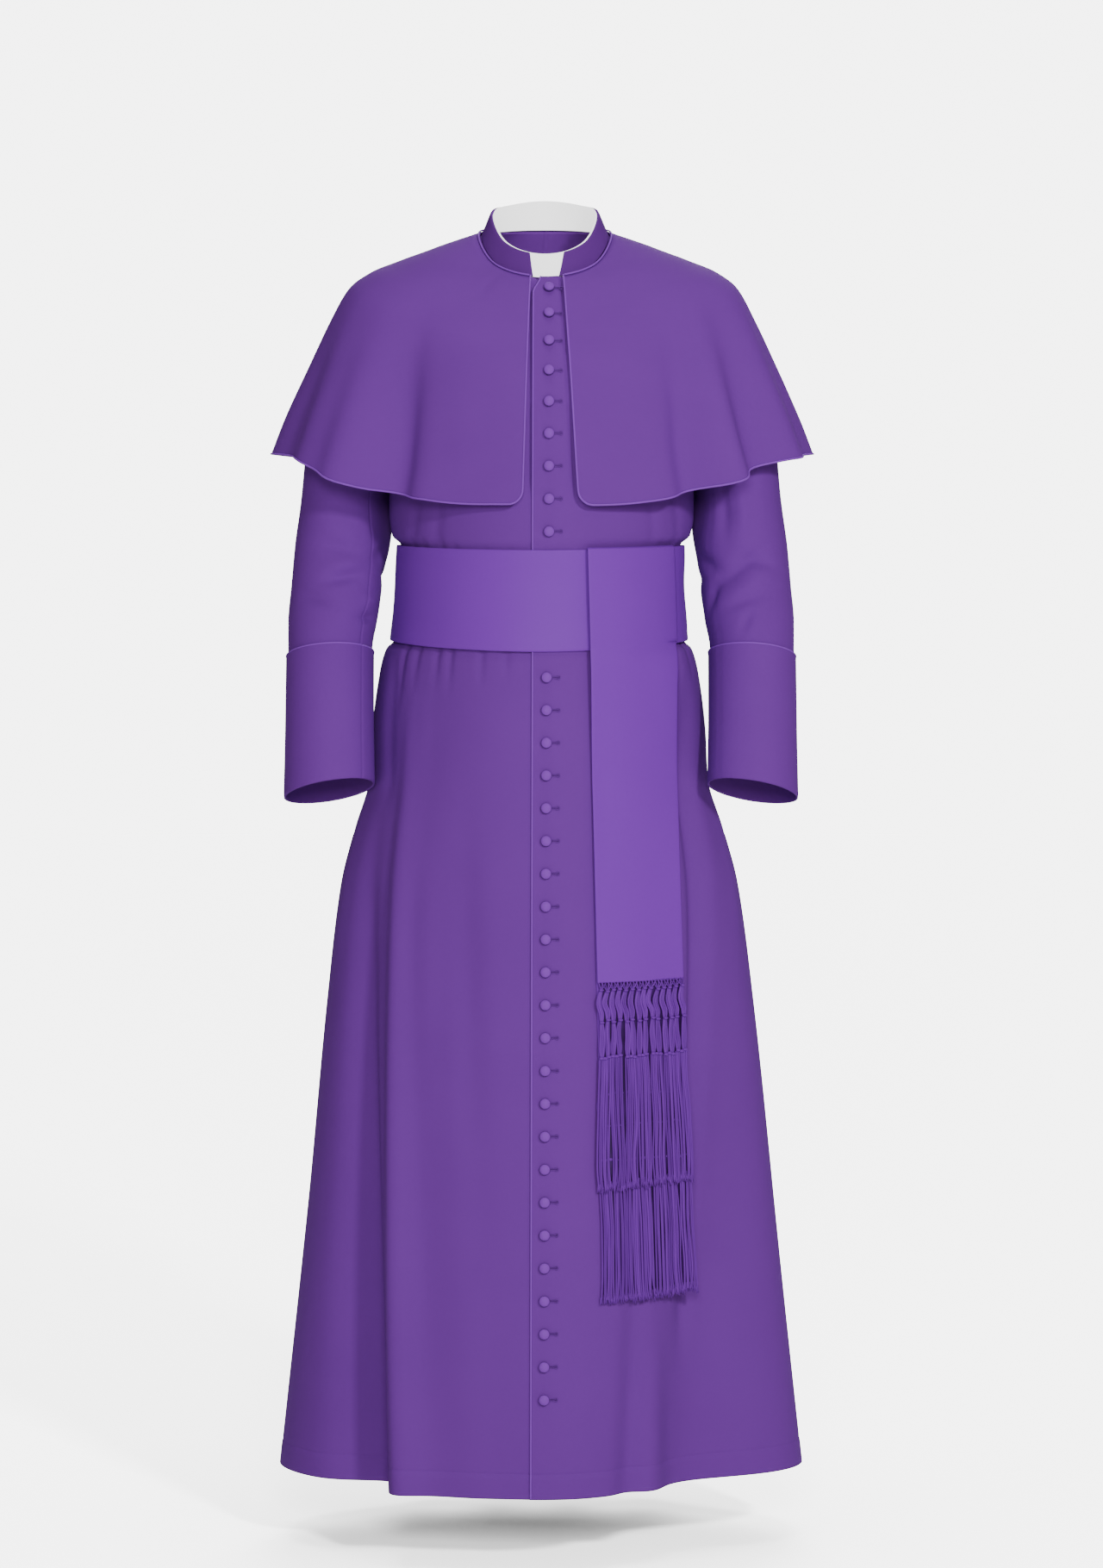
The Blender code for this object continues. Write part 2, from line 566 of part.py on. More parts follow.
def panel(name, grain, place):
    """A body panel and its skirt, parted at the waist seam, straight across under the sash."""
    def straight(share, height):
        if not BAND_BOTTOM < height < BAND_TOP:
            return place(share, height)
        t = (height - BAND_BOTTOM) / (BAND_TOP - BAND_BOTTOM)
        (low, low_normal), (high, high_normal) = place(share, BAND_BOTTOM), place(share, BAND_TOP)
        return low.lerp(high, t), low_normal.lerp(high_normal, t).normalized()

    cloth(name, grain, BODY_ROWS, straight, WALL, "cassock")
    cloth("skirt_" + name, grain, SKIRT_ROWS, straight, WALL, "cassock")


def make_fronts():
    def right(share, height):
        edge = grain_at_x(UNDERLAP_X, height)
        end = -armhole_end(height) + seam_turn(height)
        first, last = FRONT_GRAIN_RIGHT[0], FRONT_GRAIN_RIGHT[-1]
        at = mix(end, edge, (share - first) / (last - first))
        return body(at, height), normal_of(body, at, height)

    def left(share, height):
        edge = grain_at_x(placket_x(height), height)
        end = armhole_end(height) - seam_turn(height)
        at = mix(edge, end, share / FRONT_GRAIN_LEFT[-1])
        return top_front(at, height), normal_of(top_front, at, height)

    panel("front_right", FRONT_GRAIN_RIGHT, right)
    panel("front_left", FRONT_GRAIN_LEFT, left)


def back_seam_turn(height):
    """Half of the centre back seam's gap, as an angle of the cloth's grain."""
    degree = (body(181.0, height) - body(179.0, height)).length / 2
    return SEAM_GAP / 2 / degree


def make_backs():
    for name, side, grain in (("back_left", -1, BACK_GRAIN_LEFT), ("back_right", 1, BACK_GRAIN_RIGHT)):
        def place(share, height, side=side):
            near = back_seam_turn(height)
            far = armhole_end(height) - seam_turn(height)
            at = 180.0 + side * mix(near, far, abs(share - 180.0) / 90.0)
            return body(at, height), normal_of(body, at, height)

        panel(name, grain, place)


def make_sleeves():
    for name, side in (("right", -1), ("left", 1)):
        turns = steps(0, 360, SLEEVE_COLUMNS)

        def place(turn, row, side=side):
            return sleeve(turn, row, side), sleeve_normal(turn, row, side)

        def place_cuff(turn, row, side=side):
            normal = sleeve_normal(turn, row, side)
            return sleeve(turn, row, side) + normal * (WALL + SEAM_GAP), normal

        def place_piping(turn, row, side=side):
            normal = sleeve_normal(turn, row, side)
            return sleeve(turn, row, side) + normal * (WALL + 2 * SEAM_GAP), normal

        sleeve_rows = [SLEEVE_END, 8.0, 7.0, 6.0, 5.0, 4.0, 3.0, 2.0, 1.0, 0.4, 0.0]
        cloth("sleeve_" + name, turns, sleeve_rows, place, WALL, "cassock", closed=True)
        cuff_rows = [CUFF_END, 9.5, 9.0, 8.5, CUFF_TOP]
        cloth("cuff_" + name, turns, cuff_rows, place_cuff, WALL, "cassock", closed=True)
        piping_rows = [CUFF_TOP - SEAM_GAP / CUFF_ROW, CUFF_TOP - (SEAM_GAP + PIPING) / CUFF_ROW]
        cloth("cuff_piping_" + name, turns, piping_rows, place_piping, PIPING, "piping", closed=True)


def cape_columns():
    """Angles and insets of the cape's columns, from the right front edge round to the left."""
    insets = [0.0, 2.5, 7.0, CAPE_CORNER]
    turns = steps(0.0, 1.0, 40)
    right = [("right", inset) for inset in insets]
    left = [("left", inset) for inset in reversed(insets)]
    return right + [("round", t) for t in turns[1:-1]] + left


def cape_spot(column, share):
    """Angle and height of a cape column's point, share 0 at the hem and 1 at the neck."""
    kind, amount = column
    right = cape_edge(0, CAPE_HEM)
    left = cape_edge(1, CAPE_HEM)
    hem = cape_hem(amount) if kind != "round" else CAPE_HEM
    height = mix(hem, CAPE_NECK, share)
    reach = ring_of("cape", CAPE, height).r_0
    narrow = math.degrees(CAPE_CORNER / reach)
    if kind == "round":
        start = cape_edge(0, height) - narrow
        end = cape_edge(1, height) + narrow - 360.0
        return mix(start, end, amount), height
    inset = math.degrees(amount / reach)
    if kind == "right":
        return cape_edge(0, height) - inset, height
    return cape_edge(1, height) + inset - 360.0, height


def make_cape():
    def place(column, share):
        angle, height = cape_spot(column, share)
        normal = normal_of(cape, angle, height)
        return cape(angle, height), normal

    shares = [0.0, 0.15, 0.32, 0.45, 0.57, 0.65, 0.78, 0.9, 1.0]
    cloth("cape", cape_columns(), shares, place, WALL, "cassock")
    make_cape_piping(place, shares)
    make_collar_piping(place, shares)


def ribbon(name, path, wide, thick, kind, lift):
    """A piped edge beside a path of (point, normal, side): side points away from the path, and
    lift is how far the piping's outer face stands over it."""
    def place(i, across):
        point, normal, side = path[int(i)]
        return point + side * (SEAM_GAP + across) + normal * lift, normal

    cloth(name, list(range(len(path))), [0.0, wide], place, thick, kind)


def make_cape_piping(place, shares):
    columns = cape_columns()
    spots = [(place(columns[0], s)) for s in reversed(shares)]
    spots += [place(c, 0.0) for c in columns[1:]]
    spots += [place(columns[-1], s) for s in shares[1:]]
    path = []
    for i, (point, normal) in enumerate(spots):
        ahead = spots[min(i + 1, len(spots) - 1)][0]
        behind = spots[max(i - 1, 0)][0]
        side = normal.cross(ahead - behind).normalized()
        path.append((point, normal, side))
    ribbon("cape_piping", path, PIPING, WALL + 0.6, "piping", lift=0.3)


def make_placket_piping():
    path = []
    spots = []
    for height in reversed(LAID_ROWS):
        at = grain_at_x(placket_x(height), height)
        spots.append((top_front(at, height), normal_of(top_front, at, height)))
    for i, (point, normal) in enumerate(spots):
        ahead = spots[min(i + 1, len(spots) - 1)][0]
        behind = spots[max(i - 1, 0)][0]
        side = normal.cross(ahead - behind).normalized()
        if side.x > 0:
            side = -side
        path.append((point, normal, side))
    ribbon("placket_piping", path, PIPING, WALL, "piping", lift=0.0)


def collar_normal(at, rise):
    return normal_of(collar_face, at, rise, 0.4, 0.02)


def make_collar():
    def place(share, rise):
        right = mix(NOTCH_RIGHT[0], NOTCH_RIGHT[1], rise)
        left = mix(NOTCH_LEFT[0], NOTCH_LEFT[1], rise) - 360.0
        at = mix(right, left, share)
        return collar_face(at, rise), collar_normal(at, rise)

    def place_insert(share, rise):
        normal = collar_normal(-360.0 * share, rise)
        return collar_face(-360.0 * share, rise) - normal * (COLLAR_WALL + CLEARANCE), normal

    turns = steps(0.0, 1.0, 28)
    cloth("collar", turns, [0.0, 0.5, 1.0], place, COLLAR_WALL, "cassock")
    cloth("collar_insert", turns, [0.02, 0.5, 1.05], place_insert, INSERT_WALL, "insert", closed=True)


def make_collar_piping(place, shares):
    """The piping in the neck seam lies on the cape's top edge."""
    path = []
    for column in cape_columns():
        top, _ = place(column, shares[-1])
        below, _ = place(column, shares[-2])
        angle, _ = cape_spot(column, 1.0)
        turn = Vector((math.cos(math.radians(angle)), math.sin(math.radians(angle)), 0.0))
        side = (below - top).normalized()
        path.append((top, turn.cross(-side).normalized(), side))
    ribbon("collar_piping", path, PIPING, PIPING * 0.9, "piping", lift=CLEARANCE / 2 + PIPING * 0.9)


def band(at, height):
    return bare_body(at, height) + normal_of(bare_body, at, height) * (BAND_LIFT + WALL)


def make_sash_band():
    grain = FRONT_GRAIN_RIGHT[:-1] + FRONT_GRAIN_LEFT[1:] + BACK_GRAIN_LEFT[1:] + BACK_GRAIN_RIGHT[1:]

    def place(at, height):
        return band(at, height), normal_of(band, at, height)

    cloth("sash_band", grain, [BAND_BOTTOM, BAND_TOP], place, WALL, "sash", closed=True)


def tail_face(tail, x_share, height):
    """A tail's outer face; x_share goes from 0 to 1 across it."""
    t = min(1.0, (BAND_TOP - height) / (BAND_TOP - tail.end))
    below_end = max(0.0, (tail.end - height) / (tail.end - tail.foot))
    left = mix(mix(tail.left_top, tail.left_end, t), tail.left_foot, below_end)
    right = mix(mix(tail.right_top, tail.right_end, t), tail.right_foot, below_end)
    height = height + TAIL_SLANT * t * (x_share - 0.5)
    at = grain_at_x(mix(left, right, x_share), height)
    on_band = BAND_LIFT + tail.layers_band * (WALL + CLEARANCE)
    below = CLEARANCE + tail.layers_below * (WALL + CLEARANCE)
    lift = mix(on_band, below, smooth((BAND_BOTTOM - WALL - height) / TAIL_SETTLES))
    return bare_front(at, height) + normal_of(bare_front, at, height) * (lift + WALL)


def make_tail(name, tail, fringe):
    def face(x_share, height):
        return tail_face(tail, x_share, height)

    def place(x_share, height):
        return face(x_share, height), normal_of(face, x_share, height, 0.01, 0.8)

    rows = [tail.end] + [h for h in LAID_ROWS if tail.end + 20.0 < h < BAND_TOP] + [BAND_TOP]
    cloth(name, steps(0.0, 1.0, 6), rows, place, WALL, "sash")

    cells = 2 * STRANDS - 1
    top = tail.end - SEAM_GAP
    fringe_rows = [tail.foot, mix(tail.foot, top, 0.35), mix(tail.foot, top, 0.7), top - STRIP, top]

    def stay(i, j):
        return j == 3 or i % 2 == 0

    cloth(fringe, steps(0.0, 1.0, cells), fringe_rows, place, WALL, "fringe", keep=stay)


def make_button(name, x, height):
    """A domed button whose flat back lies on the top front."""
    bm = bmesh.new()
    profile = ((0.0, 1.0), (0.62, 0.82), (0.97, 0.4), (0.9, 0.0), (0.0, 0.0))
    verts = [bm.verts.new((r * BUTTON_RADIUS, 0.0, z * BUTTON_HEIGHT)) for r, z in profile]
    edges = [bm.edges.new(pair) for pair in zip(verts, verts[1:])]
    bmesh.ops.spin(bm, geom=verts + edges, cent=(0, 0, 0), axis=(0, 0, 1), angle=math.tau, steps=8,
                   use_merge=True)
    bmesh.ops.remove_doubles(bm, verts=bm.verts[:], dist=0.001)
    at = grain_at_x(x, height)
    normal = normal_of(top_front, at, height)
    seat = top_front(at, height) + normal * SEAM_GAP
    turn = Vector((0, 0, 1)).rotation_difference(normal).to_matrix().to_4x4()
    bmesh.ops.transform(bm, matrix=Matrix.Translation(seat) @ turn, verts=bm.verts[:])
    return finish(name, bm, "button")


def make_buttons():
    number = 0
    for row in BUTTON_ROWS:
        height = row.start
        for i in range(row.count):
            number += 1
            x = mix(row.x_first, row.x_last, i / (row.count - 1))
            make_button("button_%02d" % number, x, height)
            at = grain_at_x(x, height)
            here = top_front(at, height)
            lean = (here - top_front(at, height - 5.0)).length / 5.0
            height -= row.pitch / lean


for old in list(bpy.data.objects):
    bpy.data.objects.remove(old)
MATERIALS = {name: material(name) for name in COLOURS}
make_fronts()
make_backs()
make_sleeves()
make_cape()
make_collar()
make_placket_piping()
make_sash_band()
make_tail("sash_tail_front", TAIL_FRONT, "fringe_front")
make_tail("sash_tail_rear", TAIL_REAR, "fringe_rear")
make_buttons()
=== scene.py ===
"""A worn cassock with its shoulder cape and fringed sash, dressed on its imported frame.

Metres, +Z up; the garment faces -Y and the wearer's left is +X. Sizes in the tables are in
millimetres. Angles go round the figure in degrees: 0 at the front, 90 at the wearer's left.
"""

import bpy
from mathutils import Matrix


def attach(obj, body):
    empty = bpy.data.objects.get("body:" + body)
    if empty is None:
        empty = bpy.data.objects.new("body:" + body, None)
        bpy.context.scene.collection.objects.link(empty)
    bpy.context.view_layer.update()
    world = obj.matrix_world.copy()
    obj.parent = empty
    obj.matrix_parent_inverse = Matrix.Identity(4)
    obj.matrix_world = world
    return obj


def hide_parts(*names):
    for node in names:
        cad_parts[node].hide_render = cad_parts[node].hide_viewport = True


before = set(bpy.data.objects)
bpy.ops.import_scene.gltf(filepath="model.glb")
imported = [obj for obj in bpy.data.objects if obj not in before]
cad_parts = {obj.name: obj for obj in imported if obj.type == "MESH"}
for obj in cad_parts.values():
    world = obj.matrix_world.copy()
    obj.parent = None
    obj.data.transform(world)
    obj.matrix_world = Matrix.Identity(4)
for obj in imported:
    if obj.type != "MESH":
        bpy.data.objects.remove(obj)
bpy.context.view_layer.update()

import itertools
import math
from collections import namedtuple

import bmesh
import bpy
import numpy as np
from mathutils import Matrix, Vector

# ---- camera, floor and light ---------------------------------------------------------------------
# A plain studio: a pale floor under the hem, a pale surround, a small lamp to the right of the
# camera, a larger one above it, and soft light from the top and from behind.
EYE = (0.0105, -5.5, -0.347)
EYE_TILT = 2.738        # degrees down
FILM_HEIGHT = 24.0
FOCAL_LENGTH = 72.607
FLOOR_HEIGHT = -1.485
FLOOR_RADIUS = 14.0
SURROUND = (0.96, 0.96, 0.96, 1.0)
SEEN = 6.0              # what the camera sees of the surround is brighter than the light it gives
GIVEN = 0.14
LAMPS_AIM = (0.0, 0.0, -0.6)


def plug(node, inputs):
    """Link each of a node's inputs to the socket given for it, or set it to the value given."""
    for name, value in inputs.items():
        if isinstance(value, bpy.types.NodeSocket):
            node.id_data.links.new(value, node.inputs[name])
        else:
            node.inputs[name].default_value = value
    return node


def add_node(tree, kind, inputs=None, **settings):
    """A new node, set up before its inputs are plugged."""
    node = tree.nodes.new(kind)
    for name, value in settings.items():
        setattr(node, name, value)
    return plug(node, inputs or {})


def new_paint(name, inputs):
    """A material and its Principled shader, whose inputs are plugged."""
    paint = bpy.data.materials.new(name)
    paint.use_nodes = True
    return paint, plug(paint.node_tree.nodes["Principled BSDF"], inputs)


lens = bpy.data.cameras.new("camera")
lens.sensor_fit = "VERTICAL"
lens.sensor_height = FILM_HEIGHT
lens.lens = FOCAL_LENGTH
camera = bpy.data.objects.new("camera", lens)
camera.location = EYE
camera.rotation_euler = (math.radians(90.0 - EYE_TILT), 0.0, 0.0)
bpy.context.collection.objects.link(camera)
bpy.context.scene.camera = camera

floor_mesh = bpy.data.meshes.new("floor")
bm = bmesh.new()
bmesh.ops.create_circle(bm, cap_ends=True, segments=96, radius=FLOOR_RADIUS,
                        matrix=Matrix.Translation((0.0, 0.0, FLOOR_HEIGHT)))
bm.to_mesh(floor_mesh)
bm.free()
floor = bpy.data.objects.new("floor", floor_mesh)
bpy.context.collection.objects.link(floor)
floor_paint, _ = new_paint("pale floor", {"Base Color": (0.86, 0.86, 0.86, 1.0), "Roughness": 0.9})
floor_mesh.materials.append(floor_paint)
floor.is_shadow_catcher = True

world = bpy.data.worlds.new("pale surround")
world.use_nodes = True
sky = world.node_tree
given = plug(sky.nodes["Background"], {"Color": SURROUND, "Strength": GIVEN})
seen = add_node(sky, "ShaderNodeBackground", {"Color": SURROUND, "Strength": SEEN})
ray = add_node(sky, "ShaderNodeLightPath")
either = add_node(sky, "ShaderNodeMixShader", {
    "Fac": ray.outputs["Is Camera Ray"], 1: given.outputs["Background"],
    2: seen.outputs["Background"]})
plug(sky.nodes["World Output"], {"Surface": either.outputs["Shader"]})
bpy.context.scene.world = world

Lamp = namedtuple("Lamp", "name x y z size watts")
for lamp in (
    # name, x, y, z, size, watts
    Lamp("key", 2.2, -4.7, 1.6, 0.5, 135.0),
    Lamp("front", 0.0, -5.4, 0.7, 1.2, 122.0),
    Lamp("top", 0.0, 0.0, 4.5, 3.0, 95.0),
    Lamp("rear", 0.5, 4.6, 2.4, 3.0, 125.0),
):
    light = bpy.data.lights.new(lamp.name, "AREA")
    light.size = lamp.size
    light.energy = lamp.watts
    stand = bpy.data.objects.new(lamp.name, light)
    stand.location = (lamp.x, lamp.y, lamp.z)
    aim = Vector(LAMPS_AIM) - stand.location
    stand.rotation_euler = aim.to_track_quat("-Z", "Y").to_euler()
    bpy.context.collection.objects.link(stand)

# ---- fronts and back -----------------------------------------------------------------------------
# Fine matt wool, joined at the sides, the shoulders and down the middle of the back. The left front
# laps over the right one. The sash gathers the cloth over the waist seam, and the flare hangs in
# folds to the hem, which is turned up and blind-stitched.
MM = 0.001
WALL = 2.0
THIN = 1.5              # the visible cloth's thickness, its outer face where the wall's is
SEAM_GAP = 0.3
PLACKET_LIFT = WALL + 0.5
CLEARANCE = 0.8
NECK = -29.0
SHOULDER_TIP = -121.0
UNDERARM = -175.0
BAND_TOP = -339.0
BAND_BOTTOM = -454.0
HEM = -1402.0
HEM_TURN = 28.0
WAIST_RADIUS = 160.0
ARMHOLE_DIP = 19.0
GRAIN_HOLD = 0.64       # how much of a grain line's angle at the waist it keeps at the hem


def rows_of(kind, *rows):
    """The rows of a table, each made a record of that kind."""
    return [kind(*map(float, row)) for row in rows]


Ring = namedtuple("Ring", "height up_45 up_90 up_135 up_180 r_0 r_45 r_90 r_135 r_180 shift")
BODY = rows_of(
    Ring,
    # height, up_45, up_90, up_135, up_180, r_0, r_45, r_90, r_135, r_180, shift
    (-29, 13, 50.7, 59.5, 61.5, 72.8, 71.8, 73.6, 68.2, 64.2, 3),
    (-55, 22, 58, 72, 64, 91.6, 91, 127, 91, 76, 2.5),
    (-87, 34, 77, 90, 75, 111, 111, 167, 112, 86, 2),
    (-121, 41, 99, 104, 81, 126, 130, 188, 133, 98, 1),
    (-148, 22, 51, 57, 43, 136, 148, 184, 147, 112, 0),
    (-175, 0, 0, 0, 0, 142, 157, 176.5, 149, 122, 0),
    (-240, 0, 0, 0, 0, 146, 157, 176, 149, 125, -1),
    (-300, 1, 3, 3, 3, 149, 157, 176, 147, 124, -1),
    (-327, 2, 5, 6, 6, 149, 156, 172, 146, 121, -1.5),
    (-339, 2, 6, 7, 7, 146, 152, 161.5, 144, 118, -2),
    (-454, 4, 11, 12, 12, 149, 155, 167.5, 149, 122, -4),
    (-463, 4, 11, 12, 12, 152, 158, 176.5, 152, 125, -4),
    (-490, 2, 7, 8, 8, 156, 162, 185, 157, 131, -4),
    (-540, 0, 0, 0, 0, 162, 168, 192, 162, 140, -4.5),
    (-600, 0, 0, 0, 0, 168, 174, 195, 168, 150, -4.5),
    (-660, 0, 0, 0, 0, 174, 181, 213, 175, 158, -4),
    (-725, 0, 0, 0, 0, 180, 188, 230, 184, 167, -3.5),
    (-860, 0, 0, 0, 0, 190, 198, 247.5, 196, 181, -2.5),
    (-1100, 0, 0, 0, 0, 208, 213, 272, 213, 200, -1),
    (-1402, 0, 0, 0, 0, 228, 229, 305, 235, 222, -1),
)
Fold = namedtuple("Fold", "at lift width_shallow width_deep shallow deep")
FOLDS = rows_of(
    Fold,
    (-58, 34, 12, 25, -455, -1402),
    (-36, 10, 14, 40, -700, -1402),
    (-74, -26, 12, 30, -640, -1402),
    (42, -9, 12, 20, -900, -1402),
    (75, -40, 30, 90, -700, -1402),
    (54, 8, 12, 26, -1215, -1402),
    (128, 14, 12, 30, -520, -1402),
    (146, -20, 12, 26, -470, -1402),
    (163, 16, 12, 28, -470, -1402),
    (180, -24, 9, 24, -463, -1402),
    (198, 18, 12, 28, -470, -1402),
    (216, -18, 12, 28, -480, -1402),
    (233, 13, 12, 30, -540, -1402),
)
Gather = namedtuple("Gather", "at depth half length above")
GATHERS = rows_of(
    Gather,
    (-66, 3, 5, 90, 22),
    (-58, 2.6, 5, 60, 18),
    (-47, 2.4, 5, 55, 20),
    (-40, 2.4, 5, 60, 12),
    (-25, 2, 5, 50, 8),
    (-14, 1.6, 5, 40, 6),
    (60, 2.4, 5, 60, 14),
    (69, 2.8, 5, 70, 20),
    (78, 2.4, 5, 55, 12),
    (118, 2.6, 5, 60, 16),
    (137, 2.8, 5, 80, 18),
    (155, 2.6, 5, 70, 14),
    (172, 3, 5, 90, 16),
    (189, 3, 5, 85, 18),
    (207, 2.6, 5, 65, 14),
    (224, 2.8, 5, 75, 18),
    (243, 2.4, 5, 60, 12),
)
# Soft creases: how far they stand out, their half width, and the heights where they fade out. lean
# is how many degrees they drift over 100 mm of height.
Crease = namedtuple("Crease", "at lift half top bottom lean")
CREASES = rows_of(
    Crease,
    (-70, -2.6, 11, -455, -640, -1),
    (-52, 1.4, 12, -470, -760, 0.5),
    (-30, -1.2, 16, -560, -1050, 0),
    (-20, 1, 18, -640, -1250, 0),
    (36, -1.3, 14, -520, -980, 0),
    (72, -2.4, 12, -470, -700, 1),
    (84, 2.2, 14, -480, -820, 0.5),
    (-84, 1.8, 14, -500, -860, 0),
    (112, -2.2, 13, -470, -900, 0),
    (172, 1.8, 12, -520, -980, 0.4),
    (207, -2, 14, -500, -940, -0.4),
    (254, -2.4, 13, -480, -860, 0.3),
    (-48, 8, 24, -560, -1720, 0),
    (-71.5, -7, 15, -560, -1720, 0),
    (68, -13, 15, -440, -1300, 0),
    (-48, -1.4, 9, -262, -345, 6),
    (-60, -1.6, 9, -240, -345, 9),
    (52, -1.4, 9, -258, -345, -7),
    (66, -1.6, 9, -236, -345, -10),
    (150, -2, 11, -230, -345, 6),
    (212, -2, 11, -236, -345, -6),
    (181, -1.6, 12, -250, -345, 0),
)
PLACKET_X_TOP = -9.2
PLACKET_X_HEM = -11.8
PLACKET_CORNER = 20.0
PLACKET_SINKS = 39.0
UNDERLAP_X = 27.0
SEAM_LAP = 0.4          # the panels meet in the seams' grooves, with no gap between them
CAPE_EDGE_LEFT = (25.0, 41.0)       # x of the cape's left front edge at the neck and at its hem
CAPE_PRESSES = (-285.0, -255.0)     # the heights between which that edge begins to press
HEM_PROUD = 0.5
HEM_STITCH = 0.45
SEAM_DIP = 0.7
BACK_SEAM = 97          # the back's column on its middle seam
EDGE_SHARE = 0.0035     # a narrow column at each edge rounds it
BUMP = 0.22


def mix(a, b, t):
    return a + (b - a) * t


def ease(t):
    t = np.clip(t, 0.0, 1.0)
    return t * t * (3.0 - 2.0 * t)


def bell(distance, half):
    return np.exp(-(distance / half) ** 2)


def turn_between(a, b):
    return (a - b + 180.0) % 360.0 - 180.0


def unit(vectors):
    return vectors / np.maximum(np.linalg.norm(vectors, axis=-1, keepdims=True), 1e-9)


def through(xs, ys, x):
    """Values at x of the smooth curve through the points (xs, ys), which never overshoots them."""
    xs, ys, x = np.asarray(xs, float), np.asarray(ys, float), np.asarray(x, float)
    run = np.diff(xs)
    chord = np.diff(ys) / run
    slope = np.zeros(len(xs))
    slope[0], slope[-1] = chord[0], chord[-1]
    same_way = chord[:-1] * chord[1:] > 0.0
    total = np.where(same_way, chord[:-1] + chord[1:], 1.0)
    slope[1:-1] = np.where(same_way, 2.0 * chord[:-1] * chord[1:] / total, 0.0)
    i = np.clip(np.searchsorted(xs, x) - 1, 0, len(xs) - 2)
    t = (x - xs[i]) / run[i]
    return ((2 * t ** 3 - 3 * t ** 2 + 1) * ys[i] + (t ** 3 - 2 * t ** 2 + t) * run[i] * slope[i]
            + (3 * t ** 2 - 2 * t ** 3) * ys[i + 1] + (t ** 3 - t ** 2) * run[i] * slope[i + 1])


def around(values, angle):
    """Values given at 0, 45, 90, 135 and 180 degrees, at any angle, alike on both sides."""
    a = np.abs(turn_between(angle, 0.0)) / 45.0
    i = np.minimum(a.astype(int), 3)
    t = a - i
    ends = (values[1],) + tuple(values) + (values[3],)
    ends = np.stack(np.broadcast_arrays(*ends, a)[:-1])
    p0, p1, p2, p3 = (np.take_along_axis(ends, i[None] + k, 0)[0] for k in range(4))
    m1, m2 = (p2 - p0) / 2, (p3 - p1) / 2
    return ((2 * t ** 3 - 3 * t ** 2 + 1) * p1 + (t ** 3 - 2 * t ** 2 + t) * m1
            + (3 * t ** 2 - 2 * t ** 3) * p2 + (t ** 3 - t ** 2) * m2)


def ring_at(table, height):
    downs = [-row.height for row in table]
    return Ring(*[through(downs, column, -height) for column in zip(*table)])


def outward(angle):
    """The level direction that points away from the figure at an angle."""
    a = np.radians(angle)
    return np.stack((np.sin(a), -np.cos(a), np.zeros_like(a)), axis=-1)


def ring_radius(ring, angle):
    return around((ring.r_0, ring.r_45, ring.r_90, ring.r_135, ring.r_180), angle)


def on_ring(ring, angle):
    reach = ring_radius(ring, angle)
    up = around((0.0 * ring.up_45, ring.up_45, ring.up_90, ring.up_135, ring.up_180), angle)
    middle = np.stack(np.broadcast_arrays(ring.shift, 0.0 * reach, ring.height + up), axis=-1)
    return middle + outward(angle) * reach[..., None]


def grain_angle(at, height):
    """Where a grain line of the waist has got to: the fullness goes to the sides."""
    t = np.clip((height - BAND_BOTTOM) / (HEM - BAND_BOTTOM), 0.0, 1.0)
    a = turn_between(at, 0.0)
    side = np.where(a < 0.0, -1.0, 1.0)
    a = np.abs(a)
    from_middle = np.where(a <= 90.0, a, 180.0 - a)
    low = GRAIN_HOLD * from_middle + 90.0 * (1.0 - GRAIN_HOLD) * (from_middle / 90.0) ** 6
    low = np.where(a <= 90.0, low, 180.0 - low)
    return at + side * t * (low - a)


def fold_lift(at, height):
    """How far the folds, the gathers and the creases lift the body's face."""
    here = grain_angle(at, height)
    reach = ring_radius(ring_at(BODY, height), here)
    total = np.zeros(np.broadcast(at, height).shape)
    for fold in FOLDS:
        t = np.clip((height - fold.shallow) / (fold.deep - fold.shallow), 0.0, 1.0)
        away = np.radians(turn_between(here, grain_angle(fold.at, height))) * reach
        width = mix(fold.width_shallow, fold.width_deep, t)
        total = total + fold.lift * ease(t) ** 0.7 * bell(away, width)
    for gather in GATHERS:
        below = (BAND_BOTTOM - height) / gather.length
        above = (height - BAND_TOP) / gather.above
        fade = 1.0 - ease(np.maximum(below, above))
        away = np.radians(turn_between(at, gather.at)) * WAIST_RADIUS
        # the sash presses the gathers flatter
        depth = gather.depth * mix(1.0, 0.4, ease((height - BAND_BOTTOM) / 60.0))
        total = total - depth * fade * bell(away, gather.half)
    for crease in CREASES:
        along = (height - crease.bottom) / (crease.top - crease.bottom)
        fade = ease(4.0 * along) * ease(4.0 * (1.0 - along))
        line = crease.at + crease.lean * (height - (crease.top + crease.bottom) / 2) / 100.0
        away = np.radians(turn_between(here, grain_angle(line, height))) * reach
        total = total + crease.lift * fade * bell(away, crease.half)
    return total


def bare_body(at, height):
    """The body's outer face without folds or gathers. at is the grain line's angle at the waist."""
    return on_ring(ring_at(BODY, height), grain_angle(at, height))


def body(at, height):
    lift = fold_lift(at, height)
    return bare_body(at, height) + outward(grain_angle(at, height)) * lift[..., None]


def grain_at_x(x, height):
    """The grain line whose unfolded point stands at x, on the front."""
    low = np.full(np.broadcast(x, height).shape, -80.0)
    high = np.full(low.shape, 88.0)
    for _ in range(26):
        middle = (low + high) / 2
        left = bare_body(middle, height)[..., 0] < x
        low = np.where(left, middle, low)
        high = np.where(left, high, middle)
    return (low + high) / 2


def placket_x(height):
    t = np.clip((height - NECK) / (HEM - NECK), 0.0, 1.0)
    corner = PLACKET_CORNER * 0.42 * (1.0 - ease((NECK - height) / PLACKET_CORNER))
    return mix(PLACKET_X_TOP, PLACKET_X_HEM, t) + corner


